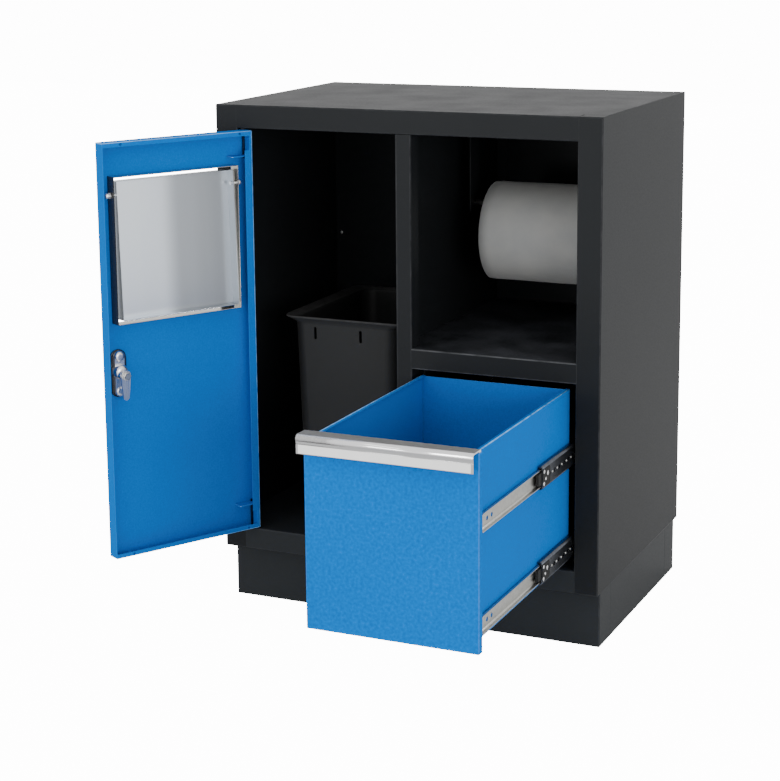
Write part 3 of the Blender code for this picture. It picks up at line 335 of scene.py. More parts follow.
@cache
def settled_dust() -> NodeTree:
    """A thin film of dust on what faces up, which also paints light onto the upward faces.

    Returns:
        The group.
    """
    colours = {"Colour": (0.5, 0.5, 0.5, 1.0), "Dust colour": (0.3, 0.3, 0.3, 1.0)}
    graph = Graph.group_of("settled_dust", TreeKind.SHADER, {**colours, "Amount": 0.1, "Scale": 14.0})
    normal = graph.add("ShaderNodeNewGeometry").outputs["Normal"]
    upward = graph.ranged(graph.add("ShaderNodeSeparateXYZ", {0: normal}).outputs[2], DUST_AND_LIGHT_SLOPE, UNIT)
    patches = graph.ranged(graph.noise(graph.place(), graph.given["Scale"], 6.0), DUST_AND_LIGHT_SPAN, DUST_AND_LIGHT_SHARE)
    return graph.masked(upward, patches, "Dust colour")


@cache
def drawn_grain() -> NodeTree:
    """Fine lines of rolled, brushed or extruded metal, and the broad bands in them.

    Returns:
        The group.
    """
    inputs = {"Stretch": (1.0, 1.0, 0.02), "Scale": 900.0, "Band share": 0.06}
    graph = Graph.group_of("drawn_grain", TreeKind.SHADER, inputs)
    stretched = graph.vector("MULTIPLY", graph.place(), graph.given["Stretch"]).outputs[0]
    fine = graph.given["Scale"]
    broad = graph.math("MULTIPLY", fine, graph.given["Band share"])
    return graph.close({"Relief": graph.noise(stretched, fine, 2.0), "Bands": graph.noise(stretched, broad, 3.0)})


@cache
def zinc_spangle() -> NodeTree:
    """Crystals of a zinc coat, each with its own shade.

    Returns:
        The group.
    """
    graph = Graph.group_of("zinc_spangle", TreeKind.SHADER, {"Scale": 180.0})
    crystals = graph.cells(graph.place(), graph.given["Scale"]).outputs["Color"]
    return graph.close({"Shade": graph.add("ShaderNodeSeparateColor", {0: crystals}).outputs[0]})


@cache
def tone_sweep() -> NodeTree:
    """A soft fall of a factor along one direction: on a metal's tone it paints shade, and on its roughness it makes a
    polish.

    Returns:
        The group.
    """
    inputs = {"Axis": (1.0, 0.0, 0.0), "Start": 0.0, "End": 0.1, "Low": 0.7}
    graph = Graph.group_of("tone_sweep", TreeKind.SHADER, inputs)
    given = graph.given
    along = graph.vector("DOT_PRODUCT", graph.place(), given["Axis"]).outputs["Value"]
    source = {"Value": along, "From Min": given["Start"], "From Max": given["End"]}
    ends = {**source, "To Min": 1.0, "To Max": given["Low"]}
    return graph.close({
        "Shade": graph.add("ShaderNodeMapRange", ends, interpolation_type="SMOOTHERSTEP").outputs[0],
    })


@cache
def moulded_grain() -> NodeTree:
    """Fine leather-like grain of a moulded plastic face.

    Returns:
        The group.
    """
    graph = Graph.group_of("moulded_grain", TreeKind.SHADER, {"Scale": 700.0, "Drift scale": 6.0})
    place, given = graph.place(), graph.given
    grain = graph.cells(place, given["Scale"], feature="SMOOTH_F1").outputs["Distance"]
    return graph.close({"Relief": grain, "Drift": graph.noise(place, given["Drift scale"], 4.0)})


@cache
def paper_texture() -> NodeTree:
    """Embossed dots and loose fibres of wiping paper, along the sheet's own map.

    Returns:
        The group.
    """
    scales = {"Dots": 220.0, "Fibres": 900.0, "Shade scale": 18.0}
    graph = Graph.group_of("paper_texture", TreeKind.SHADER, {**scales, "Scatter": 0.12, "Fibre share": 0.5})
    given = graph.given
    sheet = graph.add("ShaderNodeUVMap", uv_map="sheet").outputs[0]
    dots = graph.cells(sheet, given["Dots"], {"Randomness": given["Scatter"]}).outputs["Distance"]
    relief = graph.math("MULTIPLY_ADD", graph.noise(sheet, given["Fibres"], 3.0), given["Fibre share"], dots)
    return graph.close({"Relief": relief, "Shade": graph.noise(sheet, given["Shade scale"], 4.0)})


@dataclass(frozen=True)
class PowderCoat:
    """Satin powder coat on folded sheet: orange peel, drifting tone, rubbed edges that also carry painted highlights,
    and some dust that also paints light on its tops.
    """

    name: str
    colour: Triple
    worn_and_highlight: Triple
    dust_and_light_tint: Triple
    roughness: Pair
    drift: float
    blotch: float
    peel_depth: float
    wear_and_highlight: float
    dust_and_top_light: float
    shine: float
    blotch_scale: float = 380.0
    dulling: float = 0.3

    def material(self) -> Material:
        """Make the finish.

        Returns:
            The material.
        """
        graph = Graph.material_of(self.name)
        texture = graph.group(coat_texture(), {"Blotch scale": self.blotch_scale})
        drift, blotch = graph.around(texture["Drift"], self.drift), graph.around(texture["Blotch"], self.blotch)
        tone = graph.tinted(graph.math("MULTIPLY", drift, blotch), self.colour)
        aged = graph.aged(tone, self.worn_and_highlight, self.wear_and_highlight, self.dust_and_light_tint, self.dust_and_top_light)
        satin = graph.ranged(texture["Blotch"], NOISE_SPAN, self.roughness)
        return graph.shade({
            "Specular IOR Level": self.shine,
            "Base Color": aged["Colour"],
            "Roughness": graph.math("MULTIPLY_ADD", aged["Mask"], self.dulling, satin),
            "Normal": graph.bump(texture["Relief"], self.peel_depth),
        })


@dataclass(frozen=True)
class PlatedMetal:
    """Bare, plated or anodised metal: drawn lines, broad bands and the coat's crystals.

    A sweep paints shade along a direction, darkening its tone and, down to its shaded metallic share, its metal, and
    a polish makes it smoother.
    """

    name: str
    colour: Triple
    roughness: Pair
    stretch: Triple
    grain_scale: float
    grain_depth: float
    bands: float
    spangle: float
    sweep: Sweep | None = None
    shaded_metallic: float = 1.0
    polish: Sweep | None = None

    def material(self) -> Material:
        """Make the finish.

        Returns:
            The material.
        """
        graph = Graph.material_of(self.name)
        grain = graph.group(drawn_grain(), {"Stretch": self.stretch, "Scale": self.grain_scale})
        crystals = graph.around(graph.group(zinc_spangle(), {})["Shade"], self.spangle, UNIT)
        value = graph.math("MULTIPLY", graph.around(grain["Bands"], self.bands), crystals)
        rough = graph.ranged(grain["Relief"], NOISE_SPAN, self.roughness)
        metal = 1.0
        # Painted shade: the sweep darkens the tone, and the metal too where shaded_metallic is below 1.
        if self.sweep:
            shade = graph.swept(self.sweep)
            value = graph.math("MULTIPLY", value, shade)
            if self.shaded_metallic < 1.0:
                metal = graph.ranged(shade, (self.sweep[-1], 1.0), (self.shaded_metallic, 1.0))
        if self.polish:
            rough = graph.math("MULTIPLY", rough, graph.swept(self.polish))
        return graph.shade({
            "Metallic": metal,
            "Base Color": graph.tinted(value, self.colour),
            "Roughness": rough,
            "Normal": graph.bump(grain["Relief"], self.grain_depth),
        })


@dataclass(frozen=True)
class MouldedPlastic:
    """Black moulded plastic with a fine grain and slightly paler edges, laid by the same mark of rubbed paint and
    painted highlight as the coats.
    """

    name: str
    colour: Triple
    worn_and_highlight: Triple
    roughness: Pair
    grain_scale: float
    grain_depth: float
    shine: float
    drift: float = 0.15
    wear_and_highlight: float = 0.6
    dust_and_top_light: float = 0.12

    def material(self) -> Material:
        """Make the finish.

        Returns:
            The material.
        """
        graph = Graph.material_of(self.name)
        grain = graph.group(moulded_grain(), {"Scale": self.grain_scale})
        tone = graph.tinted(graph.around(grain["Drift"], self.drift), self.colour)
        return graph.shade({
            "Specular IOR Level": self.shine,
            "Base Color": graph.aged(tone, self.worn_and_highlight, self.wear_and_highlight, self.worn_and_highlight, self.dust_and_top_light)["Colour"],
            "Roughness": graph.ranged(grain["Drift"], NOISE_SPAN, self.roughness),
            "Normal": graph.bump(grain["Relief"], self.grain_depth),
        })


@dataclass(frozen=True)
class WipingPaper:
    """Soft embossed wiping paper."""

    name: str
    colour: Triple
    shaded: Triple
    dots: float
    depth: float
    roughness: Pair = (0.85, 0.97)
    sheen: float = 0.25

    def material(self) -> Material:
        """Make the finish.

        Returns:
            The material.
        """
        graph = Graph.material_of(self.name)
        texture = graph.group(paper_texture(), {"Dots": self.dots})
        share = graph.ranged(texture["Shade"], FIBRE_SPAN, UNIT)
        return graph.shade({
            "Base Color": graph.mix(share, rgba(self.colour), rgba(self.shaded)),
            "Roughness": graph.ranged(texture["Shade"], NOISE_SPAN, self.roughness),
            "Sheen Weight": self.sheen,
            "Normal": graph.bump(texture["Relief"], self.depth),
        })


@dataclass(frozen=True)
class WoundCard:
    """Grey-brown card, wound into a tube, with short fibres."""

    name: str
    colour: Triple
    fibre: Triple
    stretch: Triple = (1.0, 0.15, 0.15)
    fibre_scale: float = 500.0
    fibre_depth: float = 0.0001
    roughness: Pair = (0.8, 0.95)

    def material(self) -> Material:
        """Make the finish.

        Returns:
            The material.
        """
        graph = Graph.material_of(self.name)
        grain = graph.group(drawn_grain(), {"Stretch": self.stretch, "Scale": self.fibre_scale})
        share = graph.ranged(grain["Relief"], FIBRE_SPAN, UNIT)
        return graph.shade({
            "Base Color": graph.mix(share, rgba(self.colour), rgba(self.fibre)),
            "Roughness": graph.ranged(grain["Bands"], NOISE_SPAN, self.roughness),
            "Normal": graph.bump(grain["Relief"], self.fibre_depth),
        })


@dataclass(frozen=True)
class LabelStock:
    """Blank cream label strip behind a clear film."""

    name: str
    colour: Triple
    aged: Triple
    cloud_scale: float = 30.0
    fibre_scale: float = 1500.0
    fibre_depth: float = 0.00003
    roughness: Pair = (0.35, 0.5)

    def material(self) -> Material:
        """Make the finish.

        Returns:
            The material.
        """
        graph = Graph.material_of(self.name)
        place = graph.place()
        share = graph.ranged(graph.noise(place, self.cloud_scale, 5.0), FIBRE_SPAN, UNIT)
        fibres = graph.noise(place, self.fibre_scale, 3.0)
        return graph.shade({
            "Base Color": graph.mix(share, rgba(self.colour), rgba(self.aged)),
            "Roughness": graph.ranged(fibres, NOISE_SPAN, self.roughness),
            "Normal": graph.bump(fibres, self.fibre_depth),
        })


Finish = PowderCoat | PlatedMetal | MouldedPlastic | WipingPaper | WoundCard | LabelStock

VERTICAL = (1.0, 1.0, 0.012)
ALONG_X = (0.012, 1.0, 1.0)
ALONG_Y = (1.0, 0.012, 1.0)
UPWARD = (0.0, 0.0, 1.0)
ALONG_DOOR = (-0.4848096, -0.8746197, 0.0)

# Black coat: its pale edges are partly painted highlight, and its dust partly painted light on upward faces.
BLACK_COAT = PowderCoat(
    "black_coat", (0.0115, 0.0128, 0.0142), (0.075, 0.078, 0.082), (0.030, 0.030, 0.032),
    (0.36, 0.42), 0.08, 0.03, 0.000008, 0.25, 0.22, 0.09)
# Painted light: a paler copy of the black coat, for the light that the floor throws on the plinths and the floor
# panel.
PLINTH_LIT_COAT = replace(BLACK_COAT, name="plinth_coat", colour=(0.0205, 0.0230, 0.0252))
# Painted light: the shelf's full edge marks paint the highlight along its front edge, and its thick pale bluish film
# paints light on its top.
SHELF_LIT_COAT = replace(BLACK_COAT, name="shelf_coat", dust_and_light_tint=(0.046, 0.049, 0.057), wear_and_highlight=1.0, dust_and_top_light=0.95)
# Blue coat: its pale worn colour paints highlight lines along folds and the tray's rims, besides rubbed paint.
BLUE_COAT = PowderCoat(
    "blue_coat", (0.0, 0.138, 0.51), (0.30, 0.60, 0.95), (0.02, 0.15, 0.40),
    (0.44, 0.52), 0.03, 0.08, 0.000012, 0.85, 0.05, 0.003)
DRAWER_FACE = replace(BLUE_COAT, name="drawer_face_coat", wear_and_highlight=0.12, blotch=0.15, blotch_scale=210.0)
# Painted reflection: the flap's sheet is lighter towards its free edge and painted darker towards the hinge.
FLAP_SHEET = PlatedMetal(
    "flap_sheet", (0.87, 0.93, 1.0), (0.29, 0.32), VERTICAL, 700.0, 0.000001, 0.02, 0.005,
    (ALONG_DOOR, 0.346, 0.296, 0.55))
# Painted shade: the frame's wall at the flap's free side is painted dark and almost unmetallic.
FRAME_SHEET = PlatedMetal(
    "frame_sheet", (0.60, 0.585, 0.54), (0.22, 0.28), VERTICAL, 900.0, 0.000002, 0.05, 0.01,
    (ALONG_DOOR, 0.4300, 0.4316, 0.06), 0.1)
CAST_ZINC = PlatedMetal("cast_zinc", (0.86, 0.86, 0.87), (0.26, 0.34), VERTICAL, 900.0, 0.000002, 0.04, 0.03)
# Painted shade: the hinge pins are a very dark navy, for the shade in the hinge corners.
PIN_PAINTED_SHADE = PlatedMetal("pin_steel", (0.006, 0.014, 0.034), (0.40, 0.50), VERTICAL, 900.0, 0.000002, 0.05, 0.03)
BOLT_ZINC = PlatedMetal("bolt_zinc", (0.88, 0.90, 0.91), (0.36, 0.46), VERTICAL, 900.0, 0.000002, 0.04, 0.03)
# Painted shade: the lock's backing plate is dark, for the shade beside the cast housing.
LOCK_PLATE_SHADE = PlatedMetal("dark_steel", (0.055, 0.057, 0.062), (0.30, 0.40), VERTICAL, 900.0, 0.000004, 0.08, 0.05)
LABEL_STOCK = LabelStock("label_stock", (0.94, 0.94, 0.92), (0.90, 0.90, 0.88))
FINISHES = {
    Slot.CARCASS_PAINT: BLACK_COAT,
    Slot.FRONT_PAINT: BLUE_COAT,
    Slot.FLAP_STEEL: PlatedMetal(
        "flap_steel", (0.66, 0.67, 0.68), (0.20, 0.28), VERTICAL, 900.0, 0.000004, 0.05, 0.01),
    Slot.ZINC_PLATE: PlatedMetal(
        "bright_zinc", (0.55, 0.55, 0.52), (0.28, 0.40), ALONG_Y, 900.0, 0.00001, 0.08, 0.08),
    Slot.DARK_ZINC: PlatedMetal(
        "dark_zinc", (0.12, 0.13, 0.15), (0.26, 0.38), ALONG_Y, 900.0, 0.00001, 0.12, 0.12),
    Slot.BRIGHT_PLATE: PlatedMetal(
        "bright_plate", (0.76, 0.76, 0.77), (0.10, 0.20), VERTICAL, 1200.0, 0.00001, 0.05, 0.03),
    # Painted shade: the lower part of the handle's nose is painted darker; the second sweep only smooths the nose.
    Slot.HANDLE_ALUMINIUM: PlatedMetal(
        "satin_aluminium", (0.96, 0.96, 0.97), (0.34, 0.40), ALONG_X, 1100.0, 0.0000006, 0.03, 0.01,
        (UPWARD, 0.4362, 0.4335, 0.55), 1.0, (UPWARD, 0.4419, 0.4404, 0.48)),
    Slot.BLACK_PLASTIC: MouldedPlastic(
        "black_plastic", (0.0132, 0.0137, 0.0137), (0.05, 0.05, 0.05), (0.48, 0.60), 900.0, 0.00005, 0.2),
    Slot.PAPER: WipingPaper("wiping_paper", (0.31, 0.31, 0.300), (0.275, 0.28, 0.275), 260.0, 0.00015),
    Slot.CARD: WoundCard("wound_card", (0.40, 0.31, 0.21), (0.52, 0.43, 0.31)),
}

MERGE_DISTANCE = 0.00001
FLAT_ANGLE = math.radians(1.0)
SHARP_ANGLE = math.radians(25.0)
SHORT_EDGE = 0.0012
WALL_LIMIT = 0.004
PROBE_INSET = 0.0003
PROBE_SINK = 0.00002
BEND_STEPS = 3
# Share of the edge mark, rubbed paint and painted highlight, on a broken cut edge.
BROKEN_WEAR_AND_HIGHLIGHT = 0.2
DOME_SINK = 0.0004
DOME_FOOT = 0.15
DOME_TURNS = (0.4, 0.8, 1.2)
DOME_STEPS = 16
ROUND_STEPS = 32
PIN_INSET = (0.0055, 0.0045)
NO_STEP = Vector((0.0, 0.0, 0.0))
SECTION_ALONG_X = Matrix(((0.0, 0.0, 1.0), (1.0, 0.0, 0.0), (0.0, 1.0, 0.0))).to_4x4()
SECTION_ALONG_Y = Matrix(((0.0, 1.0, 0.0), (0.0, 0.0, 1.0), (1.0, 0.0, 0.0))).to_4x4()
NODE_SLOTS = {item["node"]: Slot(item["material_slot"]) for item in frame["record"]["subparts"]}
BODIES = frame["record"]["behaviour"]["bodies"]
NODE_BODIES = {node: body for body, nodes in BODIES.items() for node in nodes}
JOINTS = {joint["name"]: joint for joint in frame["joints"]}


def along_x(x: float, y: float = 0.0, z: float = 0.0) -> Matrix:
    """Frame of a section in Y and Z whose bar runs along X from a place."""
    return Matrix.Translation((x, y, z)) @ SECTION_ALONG_X


def along_y(y: float) -> Matrix:
    """Frame of a section in Z and X whose bar runs along Y from a place."""
    return Matrix.Translation((0.0, y, 0.0)) @ SECTION_ALONG_Y


def door_place() -> Matrix:
    """Frame of the open door: X from its hinge edge to its free edge, Y from its outer face inwards.

    Returns:
        The frame.
    """
    across = Vector(JOINTS["flap_swing"]["axis"])
    inward = -Vector(JOINTS["lock_turn"]["axis"])
    pin = Vector(JOINTS["door_hinge"]["pos_m"])
    place = Matrix((across, inward, Vector(UPWARD))).transposed().to_4x4()
    place.translation = Vector((pin.x, pin.y, 0.0)) - PIN_INSET[0] * across - PIN_INSET[1] * inward
    return place


def door_turn(axis: str) -> Vector:
    """A quarter turn about one axis of the open door, as angles."""
    return Vector((door_place().to_3x3() @ Matrix.Rotation(QUARTER, 3, axis)).to_euler())


def linked(name: str, data: object) -> Object:
    """Put something into the scene as an object.

    Args:
        name: The name of both.
        data: The mesh, lamp or camera.

    Returns:
        The object.
    """
    data.name = name
    obj = bpy.data.objects.new(name, data)
    bpy.context.scene.collection.objects.link(obj)
    return obj


def mesh_of(bm: BMesh) -> Mesh:
    """Turn a bmesh into a mesh.

    Args:
        bm: The bmesh, which is freed.

    Returns:
        The mesh.
    """
    mesh = bpy.data.meshes.new("mesh")
    bm.to_mesh(mesh)
    bm.free()
    return mesh


def joined(meshes: Iterable[Mesh]) -> Mesh:
    """Join meshes into one.

    Args:
        meshes: The meshes, which are removed.

    Returns:
        The joined mesh.
    """
    bm = bmesh.new()
    for mesh in meshes:
        bm.from_mesh(mesh)
        bpy.data.meshes.remove(mesh)
    return mesh_of(bm)


def mark_edges(mesh: Mesh, marks: list[float]) -> None:
    """Say of each face how far its coat is rubbed and takes a painted edge highlight."""
    mesh.attributes.new("edge", "FLOAT", "FACE").data.foreach_set("value", marks)


def modified(mesh: Mesh, kind: str, inputs: dict[str, object] | None = None, **settings: object) -> Mesh:
    """Run one modifier on a mesh.

    Args:
        mesh: The mesh.
        kind: The modifier's type.
        inputs: Inputs of its Geometry Nodes by name, set by their sockets' identifiers.
        **settings: The modifier's own properties.

    Returns:
        The plain mesh that it makes.
    """
    obj = linked(mesh.name, mesh)
    modifier = obj.modifiers.new(kind.lower(), kind)
    for name, value in settings.items():
        setattr(modifier, name, value)
    for item in modifier.node_group.interface.items_tree if inputs else ():
        if item.in_out == "INPUT" and item.name in inputs:
            modifier[item.identifier] = inputs[item.name]
    obj.update_tag()
    bpy.context.view_layer.update()
    made = bpy.data.meshes.new_from_object(obj.evaluated_get(bpy.context.evaluated_depsgraph_get()))
    bpy.data.objects.remove(obj)
    return made


def node_outline(node: str) -> BMesh:
    """Copy a node's solid, with its doubles merged and its flat faces whole.

    Args:
        node: The node's name.

    Returns:
        The solid.
    """
    source = frame["nodes"][node].data
    bm = bmesh.new()
    places = [bm.verts.new(vertex.co) for vertex in source.vertices]
    for polygon in source.polygons:
        bm.faces.new([places[index] for index in polygon.vertices])
    bmesh.ops.remove_doubles(bm, verts=bm.verts, dist=MERGE_DISTANCE)
    bmesh.ops.dissolve_limit(bm, angle_limit=FLAT_ANGLE, verts=bm.verts, edges=bm.edges)
    bm.normal_update()
    return bm


def edge_kind(edge: BMEdge, solid: BVHTree) -> EdgeKind:
    """Tell a sheet's bends from its cut edges by how deep the solid is behind both faces.

    Args:
        edge: An edge of the solid.
        solid: The solid's faces.

    Returns:
        The edge's kind.
    """
    faces = edge.link_faces
    if len(faces) != 2 or not edge.is_convex or edge.calc_length() < SHORT_EDGE:
        return EdgeKind.SHARP
    if edge.calc_face_angle() < SHARP_ANGLE:
        return EdgeKind.SHARP
    middle = (edge.verts[0].co + edge.verts[1].co) / 2
    for face, other in (faces, reversed(faces)):
        along = other.normal.dot(face.normal) * face.normal - other.normal
        start = middle + along.normalized() * PROBE_INSET - face.normal * PROBE_SINK
        depth = solid.ray_cast(start, -face.normal)[3]
        if depth is None or depth < WALL_LIMIT:
            return EdgeKind.CUT
    return EdgeKind.FOLD


def edge_mark(mesh: Mesh, polygon: MeshPolygon, wide: float) -> float:
    """How far a rounded face is rubbed and takes a painted edge highlight.

    Args:
        mesh: The mesh.
        polygon: One of its rounded faces.
        wide: The least width of a face on a bend.

    Returns:
        1 on a bend, and less on a broken edge.
    """
    points = mesh.vertices
    narrow = min((points[a].co - points[b].co).length for a, b in polygon.edge_keys)
    return 1.0 if narrow > wide else BROKEN_WEAR_AND_HIGHLIGHT


def softened(bm: BMesh, fold: float, cut: float) -> Mesh:
    """Round a solid's bends, break its cut edges, and mark both.

    Args:
        bm: The solid, which is freed.
        fold: Radius of a bend.
        cut: Width of a broken cut edge.

    Returns:
        The softened mesh.
    """
    solid = BVHTree.FromBMesh(bm)
    weights = {EdgeKind.FOLD: 1.0, EdgeKind.CUT: cut / fold, EdgeKind.SHARP: 0.0}
    bm.edges.index_update()
    values = [weights[edge_kind(edge, solid)] for edge in bm.edges]
    mesh = mesh_of(bm)
    mesh.attributes.new("bevel_weight_edge", "FLOAT", "EDGE").data.foreach_set("value", values)
    for _ in range(2):
        mesh.materials.append(None)
    soft = modified(
        mesh, "BEVEL", limit_method="WEIGHT", offset_type="OFFSET", width=fold, segments=BEND_STEPS,
        use_clamp_overlap=False, material=1)
    marked = [polygon.material_index == 1 for polygon in soft.polygons]
    soft.polygons.foreach_set("use_smooth", marked)
    soft.polygons.foreach_set("material_index", [0] * len(marked))
    wide = (fold + cut) / (2 * BEND_STEPS)
    faces = zip(soft.polygons, marked)
    mark_edges(soft, [edge_mark(soft, face, wide) if mark else 0.0 for face, mark in faces])
    soft.materials.clear()
    return soft


def banded(bm: BMesh, lower: list[BMVert], upper: list[BMVert]) -> list[BMFace]:
    """Close the band between two rings, and give its faces in order."""
    corners = zip(lower, lower[1:] + lower[:1], upper[1:] + upper[:1], upper)
    return [bm.faces.new(list(dict.fromkeys(four))) for four in corners]


def turned(bm: BMesh, profile: Outline, matrix: Matrix, steps: int) -> BMesh:
    """Add a closed turned solid.

    Args:
        bm: Where it goes.
        profile: Radius and height of each point, from the lower end of the axis to the upper one.
        matrix: Where the axis's own frame, with the axis along Z, lies.
        steps: Faces round the axis.

    Returns:
        The same bmesh.
    """
    rings = []
    for radius, height in profile:
        turns = [2 * math.pi * index / steps for index in range(steps if radius else 1)]
        ring = [Vector((radius * math.cos(turn), radius * math.sin(turn), height)) for turn in turns]
        rings.append([bm.verts.new(matrix @ point) for point in ring] * (steps // len(turns)))
    for lower, upper in zip(rings, rings[1:]):
        for face in banded(bm, lower, upper):
            face.smooth = True
    return bm


def drawn(bm: BMesh, outline: Outline, matrix: Matrix, length: float, round_from: float = 0.0) -> BMesh:
    """Add a closed bar with the same outline all along.

    Args:
        bm: Where it goes.
        outline: The section's points, anticlockwise.
        matrix: Where the section's frame, with the bar along its Z, lies.
        length: The bar's length.
        round_from: Sides shorter than this are part of a curve and shaded smooth.

    Returns:
        The same bmesh.
    """
    first, last = ([bm.verts.new(matrix @ Vector((a, b, z))) for a, b in outline] for z in (0.0, length))
    bm.faces.new(first[::-1])
    bm.faces.new(last)
    for side, start, end in zip(banded(bm, first, last), outline, outline[1:] + outline[:1]):
        side.smooth = math.dist(start, end) < round_from
    return bm


def arc(centre: Pair, radius: float, start: float, end: float, steps: int) -> Outline:
    """Points of an arc from one turn to another, in degrees, with so many sides."""
    turns = [math.radians(start + (end - start) * step / steps) for step in range(steps + 1)]
    return [(centre[0] + radius * math.cos(turn), centre[1] + radius * math.sin(turn)) for turn in turns]


def rounded(low: Pair, high: Pair, corner: float, steps: int = 6) -> Outline:
    """Points of a rectangle with round corners, anticlockwise.

    Args:
        low: Its lower corner.
        high: Its upper corner.
        corner: The corners' radius.
        steps: Sides of each corner.

    Returns:
        The points.
    """
    left, bottom = (value + corner for value in low)
    right, top = (value - corner for value in high)
    outline = []
    for quarter, centre in enumerate(((right, top), (left, top), (left, bottom), (right, bottom))):
        outline += arc(centre, corner, 90.0 * quarter, 90.0 * (quarter + 1), steps)
    return outline


def anticlockwise(outline: Outline) -> Outline:
    """The outline in anticlockwise order."""
    pairs = zip(outline, outline[1:] + outline[:1])
    return outline if sum(a[0] * b[1] - b[0] * a[1] for a, b in pairs) > 0 else outline[::-1]


def dome(radius: float, height: float, axis: Vector) -> Mesh:
    """A round rivet head that stands on the origin and points along an axis.

    Args:
        radius: The head's radius.
        height: The head's height.
        axis: The way it points.

    Returns:
        The head's mesh.
    """
    profile = [(0.0, -DOME_SINK), (radius, -DOME_SINK), (radius, height * DOME_FOOT)]
    for turn in DOME_TURNS:
        profile.append((radius * math.cos(turn), height * (DOME_FOOT + (1.0 - DOME_FOOT) * math.sin(turn))))
    place = axis.to_track_quat("Z", "X").to_matrix().to_4x4()
    return mesh_of(turned(bmesh.new(), [*profile, (0.0, height)], place, DOME_STEPS))


def carved(mesh: Mesh, cutter: BMesh) -> Mesh:
    """Cut a solid from a mesh.

    Args:
        mesh: What is cut.
        cutter: The solid that is taken away, which is freed.

    Returns:
        The cut mesh.
    """
    tool = linked("tool", mesh_of(cutter))
    made = modified(mesh, "BOOLEAN", operation="DIFFERENCE", solver="EXACT", object=tool)
    bpy.data.objects.remove(tool)
    return made


ROW_INPUTS = {
    "Geometry": Socket.GEOMETRY, "Count": 2, "Start": (0.0, 0.0, 0.0), "Step": (0.0, 0.0, 0.1),
    "Turn": (0.0, 0.0, 0.0), "Finish": Socket.MATERIAL,
}


def copied(graph: Graph, shape: NodeSocket) -> NodeSocket:
    """Copy a shape along the line that a group is given.

    Args:
        graph: A Geometry Nodes group.
        shape: The shape.

    Returns:
        The copies.
    """
    given = graph.given
    places = {"Count": given["Count"], "Start Location": given["Start"], "Offset": given["Step"]}
    points = graph.add("GeometryNodeMeshLine", places, mode="OFFSET").outputs[0]
    copies = {"Points": points, "Instance": shape, "Rotation": given["Turn"]}
    return graph.add("GeometryNodeInstanceOnPoints", copies).outputs[0]


def dressed(graph: Graph, shape: NodeSocket) -> NodeTree:
    """End a group with real meshes in the finish that it is given.

    Args:
        graph: A Geometry Nodes group.
        shape: What it shows.

    Returns:
        The group.
    """
    real = graph.add("GeometryNodeRealizeInstances", {0: shape}).outputs[0]
    inputs = {"Geometry": real, "Material": graph.given["Finish"]}
    return graph.close({"Geometry": graph.add("GeometryNodeSetMaterial", inputs).outputs[0]})


@cache
def row_tree() -> NodeTree:
    """Geometry Nodes: one shape repeated along a line.

    Returns:
        The group.
    """
    graph = Graph.group_of("row", TreeKind.GEOMETRY, {**ROW_INPUTS, "Item": Socket.OBJECT})
    item = graph.add("GeometryNodeObjectInfo", {"Object": graph.given["Item"]}, transform_space="ORIGINAL")
    return dressed(graph, copied(graph, item.outputs["Geometry"]))


@cache
def punch_tree() -> NodeTree:
    """Geometry Nodes: a row of round holes punched through a sheet.

    Returns:
        The group.
    """
    inputs = {**ROW_INPUTS, "Radius": 0.002, "Length": 0.01, "Sides": 20}
    graph = Graph.group_of("punch", TreeKind.GEOMETRY, inputs)
    given = graph.given
    sizes = {"Vertices": given["Sides"], "Radius": given["Radius"], "Depth": given["Length"]}
    punch = graph.add("GeometryNodeMeshCylinder", sizes).outputs["Mesh"]
    tools = graph.add("GeometryNodeRealizeInstances", {0: copied(graph, punch)}).outputs[0]
    holes = graph.add("GeometryNodeMeshBoolean", operation="DIFFERENCE", solver="EXACT")
    graph.feed(holes, {"Mesh 1": given["Geometry"], "Mesh 2": tools})
    return dressed(graph, holes.outputs["Mesh"])


@cache
def winding_tree() -> NodeTree:
    """Geometry Nodes: the turns of a wound sheet, as they show on the roll's end.

    Returns:
        The group.
    """
    graph = Graph.group_of("winding", TreeKind.GEOMETRY, {
        "Geometry": Socket.GEOMETRY, "Turns": 30.0, "Inner radius": 0.05, "Outer radius": 0.08,
        "Thickness": 0.0004, "Place": (0.0, 0.0, 0.0), "Turn": (0.0, 0.0, 0.0), "Finish": Socket.MATERIAL,
    })
    given = graph.given
    radii = {"Start Radius": given["Inner radius"], "End Radius": given["Outer radius"]}
    lengths = {"Resolution": 48, "Rotations": given["Turns"], "Height": 0.0}
    spiral = graph.add("GeometryNodeCurveSpiral", {**radii, **lengths}).outputs[0]
    width = {"Width": given["Thickness"], "Height": given["Thickness"]}
    section = graph.add("GeometryNodeCurvePrimitiveQuadrilateral", width).outputs[0]
    curves = {"Curve": spiral, "Profile Curve": section, "Fill Caps": True}
    tube = graph.add("GeometryNodeCurveToMesh", curves).outputs[0]
    moves = {"Geometry": tube, "Translation": given["Place"], "Rotation": given["Turn"]}
    return dressed(graph, graph.add("GeometryNodeTransform", moves).outputs[0])


def grown(tree: NodeTree, inputs: dict[str, object]) -> Mesh:
    """Grow a mesh from nothing with a Geometry Nodes tree and its inputs by name."""
    return modified(bpy.data.meshes.new("mesh"), "NODES", inputs, node_group=tree)


def row(item: Mesh, slot: Slot, start: Vector, step: Vector = NO_STEP, count: int = 1) -> Mesh:
    """Repeat a shape along a line.

    Args:
        item: The shape, which stays.
        slot: Their material slot.
        start: Where the first one is.
        step: From one to the next.
        count: How many there are.

    Returns:
        The mesh of them all.
    """
    source = linked("row_item", item)
    values = {"Item": source, "Count": count, "Start": start, "Step": step, "Finish": finish_of(slot)}
    mesh = grown(row_tree(), values)
    bpy.data.objects.remove(source)
    return mesh


